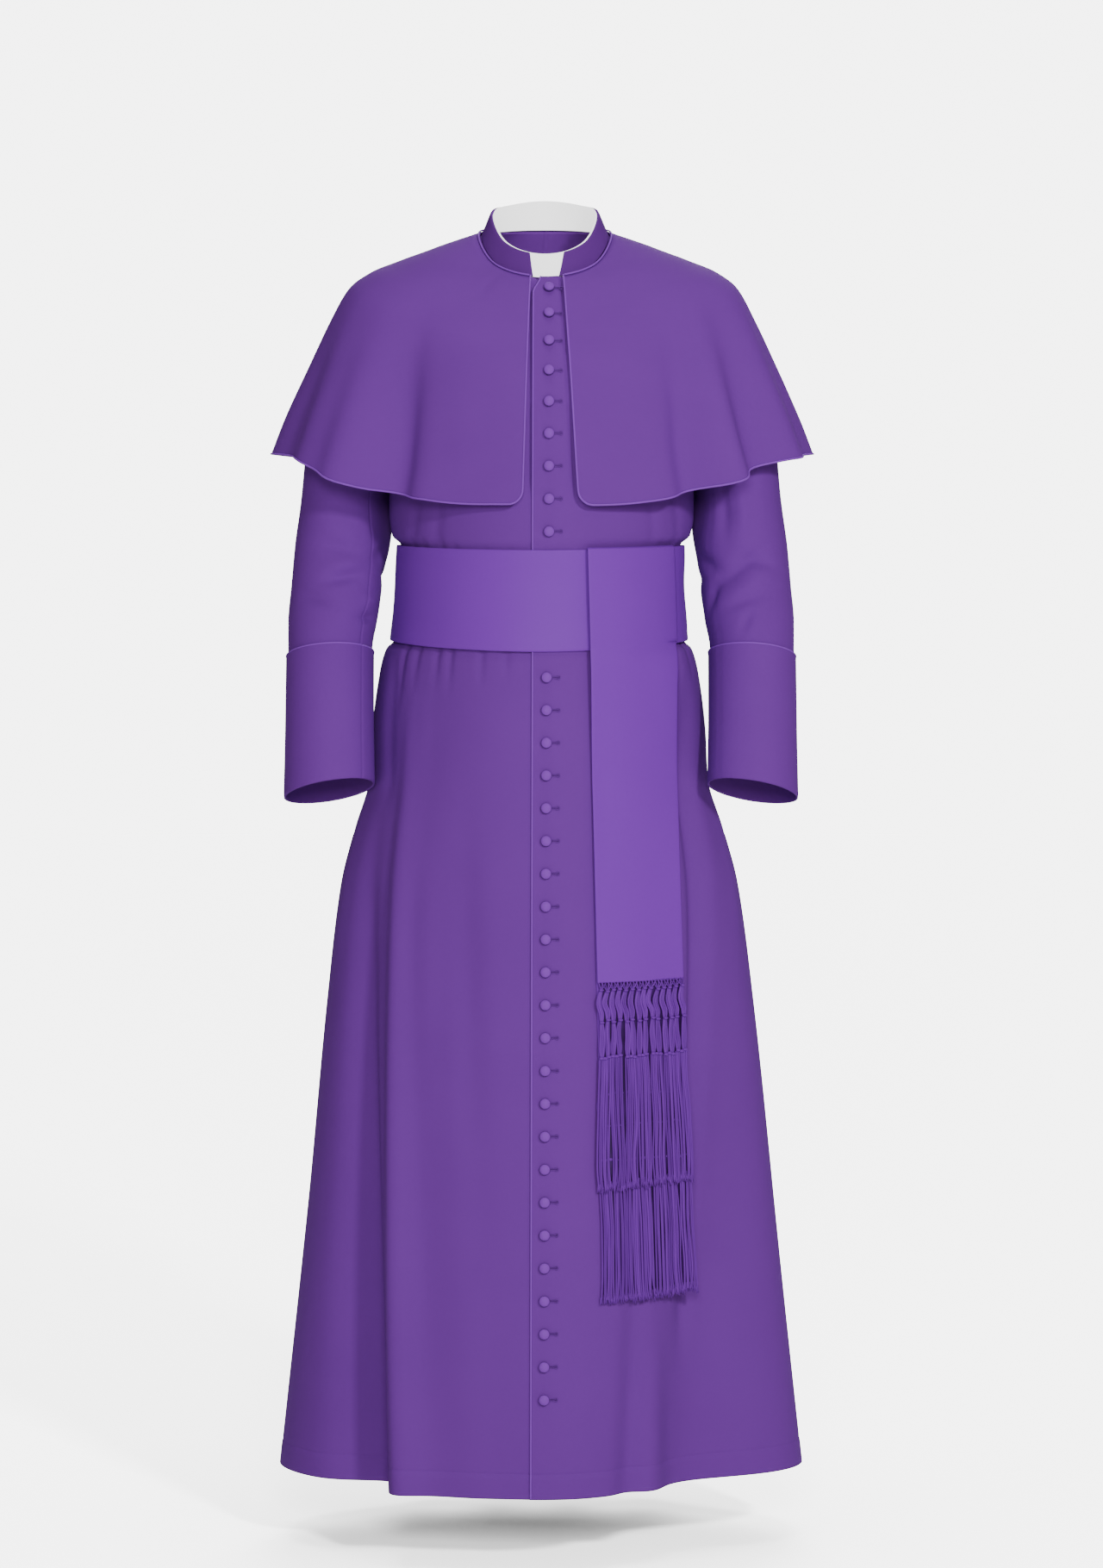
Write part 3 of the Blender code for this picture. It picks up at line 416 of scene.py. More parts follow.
def placket_rise(x):
    """The top front lies over the under front, and sinks to the body's face past its underlap."""
    return PLACKET_LIFT * (1.0 - ease((x - UNDERLAP_X - 6.0) / PLACKET_SINKS))


def armhole_end(height):
    t = np.clip((SHOULDER_TIP - height) / (SHOULDER_TIP - UNDERARM), 0.0, 1.0)
    return 90.0 - ARMHOLE_DIP * np.sin(math.pi * t) ** 0.8


def normals_of(points, closed=False):
    """Outward unit normals of a grid of points whose columns go round and whose rows go up."""
    if closed:
        ring = np.concatenate((points[:, -2:-1], points, points[:, 1:2]), axis=1)
        across = np.gradient(ring, axis=1)[:, 1:-1]
    else:
        across = np.gradient(points, axis=1)
    along = np.gradient(points, axis=0)
    return unit(np.cross(across, along))


def out_from(points, lift, closed=False):
    return points + normals_of(points, closed) * np.asarray(lift)[..., None]


def marks(*runs):
    """Stations from (start, step) pairs, each run evenly spaced up to the next start."""
    stations = []
    for (start, step), (end, _) in zip(runs, runs[1:]):
        count = max(1, round(abs(end - start) / step))
        stations += [mix(start, end, i / count) for i in range(count)]
    return np.array(stations + [runs[-1][0]])


def lengths(points, axis):
    steps = np.linalg.norm(np.diff(points, axis=axis), axis=-1)
    pad = [(0, 0), (0, 0)]
    pad[axis] = (1, 0)
    return np.pad(np.cumsum(steps, axis=axis), pad)


def start_mesh():
    """An empty bmesh and its flat layer, which holds places on the unbent cloth."""
    bm = bmesh.new()
    return bm, bm.loops.layers.uv.new("flat")


def bend_grid(bm, flat, points, middle=0, across=None):
    """Add a grid of cells to bm, bent to points[row, column]. Its flat layer gets the distances
    over the cloth, across from the middle column and up from the first row."""
    rows, columns = points.shape[:2]
    if across is None:
        across = lengths(points, 1)
        across = (across - across[:, middle:middle + 1]) * MM
    along = lengths(points, 0) * MM
    half = ((columns - 1) / 2, (rows - 1) / 2)
    place = Matrix.Translation((*half, 0.0)) @ Matrix.Diagonal((*half, 1.0, 1.0))
    made = bmesh.ops.create_grid(bm, x_segments=columns - 1, y_segments=rows - 1, size=1.0,
                                 matrix=place)["verts"]
    spots = {vert: (round(vert.co.y), round(vert.co.x)) for vert in made}
    for face in {face for vert in made for face in vert.link_faces}:
        for loop in face.loops:
            spot = spots[loop.vert]
            loop[flat].uv = (across[spot], along[spot])
    for vert, spot in spots.items():
        vert.co = points[spot] * MM
    return made


def piece(name, bm, paint):
    """A named piece made from a bmesh in metres, which rides on the garment."""
    mesh = bpy.data.meshes.new(name)
    bm.to_mesh(mesh)
    bm.free()
    mesh.materials.append(paint)
    mesh.shade_smooth()
    thing = bpy.data.objects.new(name, mesh)
    bpy.context.collection.objects.link(thing)
    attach(thing, "root")
    return thing


def cloth(name, points, paint, wall=THIN, closed=False, middle=0):
    """A sheet of cloth bent to a grid of points, with its thickness inwards from them."""
    bm, flat = start_mesh()
    bend_grid(bm, flat, points, middle)
    if closed:
        bmesh.ops.remove_doubles(bm, verts=bm.verts[:], dist=0.00001)
    thing = piece(name, bm, paint)
    solid = thing.modifiers.new("thickness", "SOLIDIFY")
    solid.thickness = wall * MM
    solid.offset = -1.0
    return thing


def sum_of(tree, operation, a, b=0.0):
    """The result of a sum on two sockets or numbers."""
    return add_node(tree, "ShaderNodeMath", {0: a, 1: b}, operation=operation).outputs["Value"]


def flat_spot(tree):
    """The place on the unbent cloth, in metres."""
    return add_node(tree, "ShaderNodeUVMap", uv_map="flat").outputs["UV"]


def split(tree, spot):
    return add_node(tree, "ShaderNodeSeparateXYZ", {"Vector": spot}).outputs


def cloudy(tree, spot, scale, detail=2.0):
    """A soft noise of 0 to 1. A higher scale makes it finer."""
    return add_node(tree, "ShaderNodeTexNoise",
                    {"Vector": spot, "Scale": scale, "Detail": detail}).outputs["Fac"]


def spread(tree, value, low, high):
    """A value of 0 to 1 put between low and high."""
    return add_node(tree, "ShaderNodeMapRange",
                    {"Value": value, "To Min": low, "To Max": high}).outputs["Result"]


def blend(tree, share, a, b):
    """Colour a going over into colour b."""
    return add_node(tree, "ShaderNodeMix", {"Factor": share, "A": a, "B": b},
                    data_type="RGBA").outputs["Result"]


def bump(tree, height, strength, distance):
    return add_node(tree, "ShaderNodeBump", {"Height": height, "Strength": strength,
                                             "Distance": distance}).outputs["Normal"]


def paler(colour, times):
    """A colour with each part that many times stronger."""
    return (*[min(1.0, part * times) for part in colour], 1.0)


def weave_group():
    """Shader group of a fine twill: a height for bump, a soft colour mask and a nap mask."""
    tree = bpy.data.node_groups.new("Twill weave", "ShaderNodeTree")
    for name in ("Threads per metre", "Slant"):
        tree.interface.new_socket(name, in_out="INPUT", socket_type="NodeSocketFloat")
    for name in ("Height", "Shade", "Nap"):
        tree.interface.new_socket(name, in_out="OUTPUT", socket_type="NodeSocketFloat")
    given = tree.nodes.new("NodeGroupInput").outputs
    flat = flat_spot(tree)
    parts = split(tree, flat)
    u = sum_of(tree, "MULTIPLY", parts["X"], given["Threads per metre"])
    v = sum_of(tree, "MULTIPLY", parts["Y"], given["Threads per metre"])
    slanted = sum_of(tree, "ADD", u, sum_of(tree, "MULTIPLY", v, given["Slant"]))
    ribs = sum_of(tree, "SINE", sum_of(tree, "MULTIPLY", slanted, math.tau))
    picks = sum_of(tree, "SINE", sum_of(tree, "MULTIPLY", v, 2.0 * math.tau))
    woven = sum_of(tree, "ADD", sum_of(tree, "MULTIPLY", ribs, 0.5),
                   sum_of(tree, "MULTIPLY", picks, 0.2))
    yarn = sum_of(tree, "MULTIPLY", cloudy(tree, flat, 900.0), 0.6)
    worn = sum_of(tree, "MULTIPLY", cloudy(tree, flat, 9.0, detail=3.0), 0.6)
    nap = cloudy(tree, flat, 260.0)
    add_node(tree, "NodeGroupOutput", {
        "Height": sum_of(tree, "ADD", woven, yarn),
        "Shade": sum_of(tree, "ADD", worn, sum_of(tree, "MULTIPLY", nap, 0.4)),
        "Nap": nap})
    return tree


WEAVE = weave_group()


def woven_paint(name, dark, light, roughness, sheen, threads, slant, depth, nap=0.06):
    """A woven cloth: two close shades of its colour, its weave as bump, and a dry sheen."""
    paint, shader = new_paint(name, {
        "Roughness": roughness, "Sheen Weight": sheen, "Sheen Roughness": 0.5,
        "Sheen Tint": paler(light, 2.2), "Specular IOR Level": 0.12})
    tree = paint.node_tree
    weave = add_node(tree, "ShaderNodeGroup", {"Threads per metre": threads, "Slant": slant},
                     node_tree=WEAVE).outputs
    plug(shader, {
        "Base Color": blend(tree, weave["Shade"], (*dark, 1.0), (*light, 1.0)),
        "Roughness": spread(tree, weave["Nap"], roughness - nap, roughness + nap),
        "Normal": bump(tree, weave["Height"], BUMP, depth)})
    return paint


WOOL = woven_paint("cassock wool", (0.138, 0.0285, 0.283), (0.166, 0.0365, 0.330),
                   roughness=0.8, sheen=0.06, threads=1500.0, slant=1.0, depth=0.0002)

BODY_ROWS = marks((HEM, 1.0), (HEM + 2.0, 6.0), (HEM + HEM_TURN - 2.0, 1.0),
                  (HEM + HEM_TURN + 3.0, 9.0), (-620.0, 6.0), (-520.0, 3.6), (BAND_BOTTOM, 19.0),
                  (BAND_TOP, 3.0), (-300.0, 6.0), (-180.0, 6.5), (-54.0, 2.2), (NECK, 1.0))


def edged(count):
    """Shares from 0 to 1 across a panel, with narrow columns at both edges."""
    inner = [mix(3 * EDGE_SHARE, 1.0 - 3 * EDGE_SHARE, i / count) for i in range(count + 1)]
    return np.array([0.0, EDGE_SHARE, *inner, 1.0 - EDGE_SHARE, 1.0])


def hem_and_seams(height, from_seam):
    """The turned-up hem stands a little proud, its stitches pull in, and so does a seam."""
    above = height - HEM
    turned = HEM_PROUD * (1.0 - ease((above - HEM_TURN + 3.0) / 2.0))
    stitched = -HEM_STITCH * bell(above - HEM_TURN, 1.1)
    return turned + stitched - SEAM_DIP * bell(from_seam, 1.6)


def cape_press(away, height, depth, half):
    """How far the front edge of the cape, which lies away from here, presses the cloth in."""
    foot, full = CAPE_PRESSES
    return depth * ease((height - foot) / (full - foot)) * bell(away, half)


height = BODY_ROWS[:, None]
lap_turn = np.degrees(SEAM_LAP / ring_at(BODY, height).r_90)
side_right = -armhole_end(height) - lap_turn
side_left = armhole_end(height) + lap_turn

share = edged(112)[None, :]
under_edge = grain_at_x(UNDERLAP_X, height)
points = body(mix(side_right, under_edge, share), height)
from_seam = lengths(points, 1)
sunk = cape_press(points[..., 0] - placket_x(height) + 5.0, height, 3.5, 3.6)
points = out_from(points, hem_and_seams(height, from_seam) - sunk)
front_right = cloth("cassock_front_right", points, WOOL, middle=90)
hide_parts("front_right", "skirt_front_right")

share = edged(104)[None, :]
top_edge = grain_at_x(placket_x(height), height)
points = body(mix(top_edge, side_left, share), height)
cape_edge_x = mix(*CAPE_EDGE_LEFT, (NECK - height) / 260.0)
sunk = cape_press(points[..., 0] - cape_edge_x + 3.0, height, 3.0, 3.0)
points = out_from(points, placket_rise(points[..., 0]) - sunk)
reach = lengths(points, 1)
points = out_from(points, hem_and_seams(height, reach[:, -1:] - reach))
front_left = cloth("cassock_front_left", points, WOOL, middle=0)
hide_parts("front_left", "skirt_front_left")
left_edge = points[:, 0]

share = edged(190)[None, :]
points = body(mix(180.0 - side_left, 180.0 + side_left, share), height)
reach = lengths(points, 1)
from_sides = np.minimum(reach, reach[:, -1:] - reach)
from_seam = np.minimum(from_sides, np.abs(reach - reach[:, BACK_SEAM:BACK_SEAM + 1]))
points = out_from(points, hem_and_seams(height, from_seam))
back = cloth("cassock_back", points, WOOL, middle=BACK_SEAM)
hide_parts("back_left", "back_right", "skirt_back_left", "skirt_back_right")

# ---- placket piping ------------------------------------------------------------------------------
# A thin cord covered in a lighter satin that is cut on the bias. It is caught in the left front's
# edge, between the cloth and its facing, from the neck to the hem.
PIPING_RADIUS = 1.05
PIPING_FROM_EDGE = (-0.9, 0.35, 0.0)
SATIN = woven_paint("piping satin", (0.225, 0.052, 0.475), (0.270, 0.070, 0.540),
                    roughness=0.5, sheen=0.1, threads=1600.0, slant=1.0, depth=0.0001)


def tube_points(path, radius, sides=8):
    """A grid of points round a path, closed at its last column. radius may vary along the path."""
    path = np.asarray(path, float)
    ahead = unit(np.gradient(path, axis=0))
    side = np.zeros_like(path)
    start = np.array((0.0, -1.0, 0.0)) if abs(ahead[0][1]) < 0.8 else np.array((1.0, 0.0, 0.0))
    for i, along in enumerate(ahead):
        start = start - along * np.dot(start, along)
        start = start / np.linalg.norm(start)
        side[i] = start
    other = np.cross(ahead, side)
    turns = np.linspace(0.0, math.tau, sides + 1)[None, :, None]
    ring = side[:, None] * np.cos(turns) + other[:, None] * np.sin(turns)
    return path[:, None] + ring * np.broadcast_to(radius, len(path))[:, None, None]


def add_tube(bm, flat, path, radius, sides=8):
    """A tube round a path, its seam and ends still open."""
    bend_grid(bm, flat, tube_points(path, radius, sides))


def close_tubes(bm):
    """Weld the seams of all the tubes, and close their ends."""
    bmesh.ops.remove_doubles(bm, verts=bm.verts[:], dist=0.000001)
    rims = [edge for edge in bm.edges if edge.is_boundary]
    bmesh.ops.holes_fill(bm, edges=rims, sides=12)
    bmesh.ops.recalc_face_normals(bm, faces=bm.faces[:])


def cord_piece(name, path, radius, paint, sides=8):
    """A piece that is one cord along a path."""
    bm, flat = start_mesh()
    add_tube(bm, flat, path, radius, sides)
    close_tubes(bm)
    return piece(name, bm, paint)


path = left_edge + np.array(PIPING_FROM_EDGE)
placket_piping = cord_piece("placket_piping_cord", path[::2], PIPING_RADIUS, SATIN)
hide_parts("placket_piping")

# ---- buttons -------------------------------------------------------------------------------------
# Small domes of wood or board covered in the cassock's cloth, on shanks through the left front.
# Their edges tuck under, and the row goes on out of sight under the sash.
BUTTON_RADIUS = 6.3
BUTTON_HEIGHT = 5.6
BUTTON_STAND = 1.5
DOME_SHARE = 0.86       # of that height, which the dome takes up
RIM_SHARE = 0.16        # of the dome, whose rim stands this high and tucks under
# the painted shade that darkens each button towards its rim
PAINTED_RIM_SHADE = (0.050, 0.011, 0.108, 1.0)
ButtonRow = namedtuple("ButtonRow", "start pitch count x_first x_last")
BUTTON_ROWS = (
    ButtonRow(-43.0, 36.85, 9, 7.6, 7.4),
    ButtonRow(-483.0, 36.85, 23, 4.7, 1.9),
)
# painted light: the cover is lighter than the cassock's cloth it is made of, for the light the
# buttons' crowns catch
PAINTED_BUTTON_COVER = woven_paint("button cover", (0.205, 0.045, 0.425), (0.240, 0.056, 0.485),
                    roughness=0.62, sheen=0.12, threads=1100.0, slant=1.0, depth=0.00012)


def paint_rim_shade(paint):
    """Painted shade: the cover darkens towards a button's rim, where it tucks under."""
    tree = paint.node_tree
    base = tree.nodes["Principled BSDF"].inputs["Base Color"]
    from_crown = add_node(tree, "ShaderNodeVectorMath", {0: flat_spot(tree)},
                          operation="LENGTH").outputs["Value"]
    rim = add_node(tree, "ShaderNodeMapRange", {
        "Value": from_crown, "From Min": 0.84 * BUTTON_RADIUS * MM,
        "From Max": 1.02 * BUTTON_RADIUS * MM}, interpolation_type="SMOOTHSTEP").outputs["Result"]
    tree.links.new(blend(tree, rim, base.links[0].from_socket, PAINTED_RIM_SHADE), base)


paint_rim_shade(PAINTED_BUTTON_COVER)


def front_at(x, height):
    """A point of the left front's face, and its outward normal there."""
    spots = np.array([[x - 1.0, x, x + 1.0]] * 3)
    heights = np.array([[height - 1.0] * 3, [height] * 3, [height + 1.0] * 3])
    face = body(grain_at_x(spots, heights), heights)
    face = out_from(face, placket_rise(face[..., 0]))
    return face[1, 1], normals_of(face)[1, 1]


button_places = []
for row in BUTTON_ROWS:
    height = row.start
    for i in range(row.count):
        x = mix(row.x_first, row.x_last, i / (row.count - 1))
        seat, normal = front_at(x, height)
        button_places.append((seat, normal))
        below, _ = front_at(x, height - 5.0)
        height -= row.pitch * 5.0 / np.linalg.norm(seat - below)

for number, (seat, normal) in enumerate(button_places, start=1):
    bm, flat = start_mesh()
    bmesh.ops.create_uvsphere(bm, u_segments=28, v_segments=16, radius=1.0)
    for vert in bm.verts:
        rise = vert.co.z
        if rise < 0.0:
            vert.co.z = RIM_SHARE * rise
        else:
            narrowed = (1.0 - rise ** 6) ** 0.12 if rise < 0.999 else 1.0
            vert.co.x *= narrowed
            vert.co.y *= narrowed
            vert.co.z = RIM_SHARE + (1.0 - RIM_SHARE) * rise ** 0.92
    for face in bm.faces:
        for loop in face.loops:
            spot = loop.vert.co
            loop[flat].uv = (spot.x * BUTTON_RADIUS * MM, spot.y * BUTTON_RADIUS * MM)
    wide, tall = BUTTON_RADIUS * MM, BUTTON_HEIGHT * DOME_SHARE * MM
    size = Matrix.Diagonal((wide, wide, tall, 1.0))
    lean = Vector((0.0, 0.0, 1.0)).rotation_difference(Vector(normal)).to_matrix().to_4x4()
    place = Matrix.Translation(Vector((seat + normal * BUTTON_STAND) * MM)) @ lean @ size
    bmesh.ops.transform(bm, matrix=place, verts=bm.verts[:])
    bmesh.ops.recalc_face_normals(bm, faces=bm.faces[:])
    button = piece("covered_button_%02d" % number, bm, PAINTED_BUTTON_COVER)
    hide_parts("button_%02d" % number)

# ---- buttonholes ---------------------------------------------------------------------------------
# Keyhole buttonholes worked in matching silk twist: a low rim of stitches round a closed slit that
# opens into an eye at its outer end.
TWIST_RADIUS = 0.5
SLOT_HALF = 1.25
SLOT_START = 4.0
SLOT_END = 12.0
EYE_RADIUS = 2.1
EYE_MIDDLE = SLOT_END + 1.5
TWIST = woven_paint("silk twist", (0.110, 0.024, 0.232), (0.150, 0.034, 0.305),
                    roughness=0.5, sheen=0.1, threads=2600.0, slant=2.0, depth=0.00012)
# painted shade: dark tubes sunk in the slits and eyes stand for the shade in the openings
SLIT_PAINTED_SHADE = woven_paint("painted slit shade", (0.078, 0.016, 0.165), (0.100, 0.021, 0.205),
                   roughness=0.9, sheen=0.0, threads=900.0, slant=1.0, depth=0.0001)

rim = [(mix(SLOT_START, SLOT_END, t), -SLOT_HALF) for t in np.linspace(0.0, 1.0, 6)]
rim += [(EYE_MIDDLE + EYE_RADIUS * math.cos(turn), EYE_RADIUS * math.sin(turn))
        for turn in np.radians(np.linspace(-135.0, 135.0, 11))]
rim += [(mix(SLOT_END, SLOT_START, t), SLOT_HALF) for t in np.linspace(0.0, 1.0, 6)]

stitches, stitch_flat = start_mesh()
slits, slit_flat = start_mesh()
for seat, normal in button_places:
    right = np.cross(normal, np.array((0.0, 0.0, -1.0)))
    right = right / np.linalg.norm(right)
    up = np.cross(normal, right)
    path = [seat + right * a + up * b + normal * 0.15 for a, b in rim]
    add_tube(stitches, stitch_flat, path, TWIST_RADIUS, sides=6)
    along = (SLOT_START, SLOT_END, SLOT_END + 1.0, SLOT_END + 2.3)
    line = [seat + right * a - normal * 0.1 for a in along]
    add_tube(slits, slit_flat, line, np.array((0.26, 0.30, 0.70, 0.70)), sides=6)
close_tubes(stitches)
piece("buttonhole_stitches", stitches, TWIST)
close_tubes(slits)
piece("buttonhole_slits", slits, SLIT_PAINTED_SHADE)

# ---- sleeves -------------------------------------------------------------------------------------
# Two-piece sleeves of the same wool, set into the armholes. The arms hang with the elbows a little
# bent, which breaks the cloth into soft slanting creases inside each elbow.
SLEEVE_SHIFT = -1.5
SLEEVE_END = 8.35       # in rows of the table below
ROW_LENGTH = 41.0
DEGREE_LENGTH = 0.88
SEAM_TURN = 139.0       # the front seam of the sleeve

Oval = namedtuple("Oval", "inner_x inner_z outer_x outer_z y half_depth rise")
SLEEVE = rows_of(
    Oval,
    # inner_x, inner_z, outer_x, outer_z, y, half_depth, rise
    (177.5, -172, 190, -23, 0, 57, 0),
    (179.5, -177, 217, -50, 0, 59, 0),
    (182, -192, 248, -103, 2, 58, 0),
    (184.5, -228, 268, -185, 6, 56, 1),
    (186, -290, 278.5, -284, 10, 54, 3),
    (181.5, -335, 285.5, -334, 11, 54, 6),
    (184.5, -379, 289.5, -380, 6, 53, 10),
    (189, -417, 292.5, -421, -8, 52, 13),
    (195, -457, 292, -463, -22, 51, 14),
    (194.5, -530, 292, -542, -46, 51, 14),
    (192.5, -606, 292.5, -623, -72, 51, 14),
)
# Creases: where their middle lies, how far they stand out, their half width and half length, and
# how many degrees they slant.
ElbowCrease = namedtuple("ElbowCrease", "turn row lift half length slant")
CREASES_RIGHT = rows_of(
    ElbowCrease,
    (89, 5.16, -3.6, 7, 24, -12),
    (103, 5.62, 3, 8, 22, 6),
    (103, 6, -5, 6.5, 20, 10),
    (66, 6.60, -3.6, 7, 24, -24),
    (150, 7.15, -5.5, 6.5, 17, 4),
    (148, 6.60, 2.6, 7, 17, 4),
    (100, 4.30, -2.6, 9, 28, -15),
    (160, 5.20, -3.6, 7, 18, 25),
    (205, 5.90, -3.9, 7, 30, -16),
    (236, 5.30, 2.5, 9, 32, -12),
    (262, 6.60, -2.2, 9, 40, 38),
    (300, 4.40, -2.2, 11, 50, 64),
    (212, 4.14, 19, 42, 25, 0),
)
CREASES_LEFT = rows_of(
    ElbowCrease,
    (97, 5.70, -5.6, 7.5, 32, -36),
    (84, 6.15, 3, 9, 32, -36),
    (74, 5.55, -3.6, 6.5, 22, 14),
    (148, 5.50, -4.6, 7, 24, 30),
    (92, 4.15, 3, 8, 26, 88),
    (118, 4.20, -3.8, 8, 30, 84),
    (97, 7.35, -3.1, 4.5, 15, -62),
    (100, 6.75, -3.4, 7, 22, -20),
    (142, 6.50, -3.8, 7, 22, -58),
    (206, 5.70, -3.9, 7, 30, 16),
    (238, 6.20, 2.5, 9, 32, 12),
    (266, 5.20, -2.2, 9, 40, -36),
    (302, 6.40, -2, 11, 46, -60),
    (212, 4.06, 18, 40, 25, 0),
)


def sleeve(turn, row, side):
    """A sleeve's face. turn is 0 at the outer side, 90 at the front and 180 next to the body."""
    rows = np.arange(len(SLEEVE))
    oval = Oval(*[through(rows, column, row) for column in zip(*SLEEVE)])
    a = np.radians(turn)
    out = (1.0 + np.cos(a)) / 2
    x = mix(oval.inner_x, oval.outer_x, out)
    z = mix(oval.inner_z, oval.outer_z, out) + oval.rise * np.sin(a)
    y = oval.y - oval.half_depth * np.sin(a)
    x = side * x + SLEEVE_SHIFT * ease(row / 4.0)
    points = np.stack(np.broadcast_arrays(x, y, z), axis=-1)
    height = mix(SHOULDER_TIP, UNDERARM, 1.0 - out)
    end = side * armhole_end(height)
    edge = body(np.where(np.sin(a) >= 0.0, end, side * 180.0 - end), height)
    edge = edge + np.array((side * 2 * SEAM_GAP, 0.0, 0.0))
    return mix(edge, points, ease(row)[..., None])


def elbow_lift(turn, row, creases):
    """How far the creases lift the sleeve's face, and how its front seam draws it in."""
    total = 0.0 * turn * row
    for crease in creases:
        a = turn_between(turn, crease.turn) * DEGREE_LENGTH
        b = (crease.row - row) * ROW_LENGTH
        slant = math.radians(crease.slant)
        along = a * math.cos(slant) + b * math.sin(slant)
        across = b * math.cos(slant) - a * math.sin(slant)
        total = total + crease.lift * bell(across, crease.half) * bell(along, crease.length)
    seam = turn_between(turn, SEAM_TURN) * DEGREE_LENGTH
    return total - 0.8 * bell(seam, 1.1)


SLEEVE_TURNS = marks((0.0, 4.0), (128.0, 3.0), (134.0, 1.25), (144.0, 3.0), (152.0, 4.0),
                     (360.0, 4.0))
arms = []
for name, side, creases in (("right", -1, CREASES_RIGHT), ("left", 1, CREASES_LEFT)):
    turns = SLEEVE_TURNS[None, :] if side < 0 else 360.0 - SLEEVE_TURNS[None, :]
    rows = marks((SLEEVE_END, 0.1), (1.0, 0.12), (0.0, 0.1))[:, None]
    face = sleeve(turns, rows, side)
    points = out_from(face, elbow_lift(turns % 360.0, rows, creases), closed=True)
    arm = cloth("sleeve_cloth_" + name, points, WOOL, closed=True)
    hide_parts("sleeve_" + name)
    arms.append((name, side, turns, arm))

# ---- cuffs ---------------------------------------------------------------------------------------
# Deep turned-back cuffs of the same wool, each a second layer round the sleeve's end. The satin
# piping is caught in the cuff's top edge, and the sleeve's seam runs on through it.
CUFF_TOP = 8.0
CUFF_END = 10.0

for name, side, turns, arm in arms:
    rows = marks((CUFF_END, 0.02), (CUFF_END - 0.06, 0.1), (CUFF_TOP + 0.04, 0.02),
                 (CUFF_TOP, 0.02))[:, None]
    face = sleeve(turns, rows, side)
    soft = 0.6 * bell(turn_between(turns, 70.0), 26.0) * bell(rows - 9.1, 0.9)
    soft = soft - 0.9 * bell(turn_between(turns, 105.0), 18.0) * bell(rows - 9.4, 0.7)
    rim = 0.5 * bell((CUFF_END - rows) * ROW_LENGTH * 2.0, 2.5)
    seam = 0.6 * bell(turn_between(turns % 360.0, SEAM_TURN) * DEGREE_LENGTH, 1.3)
    points = out_from(face, WALL + SEAM_GAP + soft - rim - seam, closed=True)
    cuff = cloth("cuff_cloth_" + name, points, WOOL, wall=WALL, closed=True)
    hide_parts("cuff_" + name)
    path = points[-1] + (points[-1] - points[-4]) * 0.06 - normals_of(points, True)[-1] * 0.5
    bm, flat = start_mesh()
    add_tube(bm, flat, path, PIPING_RADIUS)
    bmesh.ops.remove_doubles(bm, verts=bm.verts[:], dist=0.0001)
    bmesh.ops.recalc_face_normals(bm, faces=bm.faces[:])
    cord = piece("cuff_piping_cord_" + name, bm, SATIN)
    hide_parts("cuff_piping_" + name)

# ---- shoulder cape -------------------------------------------------------------------------------
# An elbow-length cape of the same wool, sewn into the neck seam and open down the front, with
# rounded corners and a piped edge all round. It breaks at the shoulders and flutes at the sides.
CAPE = rows_of(
    Ring,
    # height, up_45, up_90, up_135, up_180, r_0, r_45, r_90, r_135, r_180, shift
    (-27, 13, 52, 60, 62, 78.2, 76.2, 75.2, 70.2, 66.2, 3),
    (-52, 24, 59.5, 74, 66, 98, 98, 129, 95, 80, 2.5),
    (-84, 36, 76.5, 92, 77, 116, 117, 170, 118, 92, 2),
    (-118, 44, 96, 106, 84, 131, 139, 204, 140, 104, 1.5),
    (-140, 42, 102.5, 109, 82, 139, 153, 224, 153, 112, 1),
    (-170, 33, 90, 97, 73, 147.5, 165, 248, 168, 123, 0.5),
    (-205, 25, 78, 83, 65, 153, 173, 270, 183, 132, 0.5),
    (-250, 13, 63, 61, 48, 157.5, 181, 297, 199, 143, 0),
    (-289, 6, 58, 47, 36, 162, 190, 314, 211, 152, 0),
)
CAPE_NECK = -27.0
CAPE_HEM = -289.0
CAPE_CORNER = 16.0
CAPE_EDGE_RIGHT = (-14.6, -22.5)
CAPE_RADIUS = 150.0     # near enough, for the width of its creases
Flute = namedtuple("Flute", "at lift half start")
FLUTES = rows_of(
    Flute,
    (-57, -27, 6.5, -85),
    (-66.5, 9, 4.5, -120),
    (-72.5, -6, 4, -130),
    (-84, -18, 6, -118),
    (-97, 4, 8, -118),
    (56.5, -22, 5.5, -95),
    (64.5, 9, 4.5, -120),
    (72.5, -26, 5.5, -90),
    (80, 6, 4, -118),
    (86, -11, 5, -118),
    (97, 3, 8, -118),
    (122, -9, 9, -118),
    (140, 8, 9, -105),
    (158, -7, 8, -105),
    (177, 8, 9, -100),
    (196, -8, 8, -105),
    (216, 9, 9, -105),
    (236, -9, 9, -118),
)
# Soft creases: where their middle lies, how far they stand out, their half width and half length,
# and how many degrees they drift over 100 mm of height.
CapeCrease = namedtuple("CapeCrease", "at height lift half length lean")
CAPE_CREASES = rows_of(
    CapeCrease,
    (-40, -62, -1.6, 9, 26, 10),
    (34, -60, -1.2, 8, 24, -10),
    (-62, -190, -1.8, 14, 60, 0),
    (40, -200, 1.6, 18, 60, 2),
    (-34, -215, 1.4, 20, 60, -2),
    (150, -90, -1.6, 12, 40, 4),
    (205, -95, -1.6, 12, 40, -4),
)
# How far the hem hangs above or below the table's own level, by the angle.
HEM_LEVELS = ((-110.0, 0.0), (-90.0, 4.0), (-78.0, 7.0), (-62.0, -5.0), (-45.0, 2.0), (-20.0, 3.0),
              (0.0, 2.0), (40.0, 2.0), (62.0, 0.0), (78.0, 7.0), (90.0, 4.0), (110.0, 0.0))


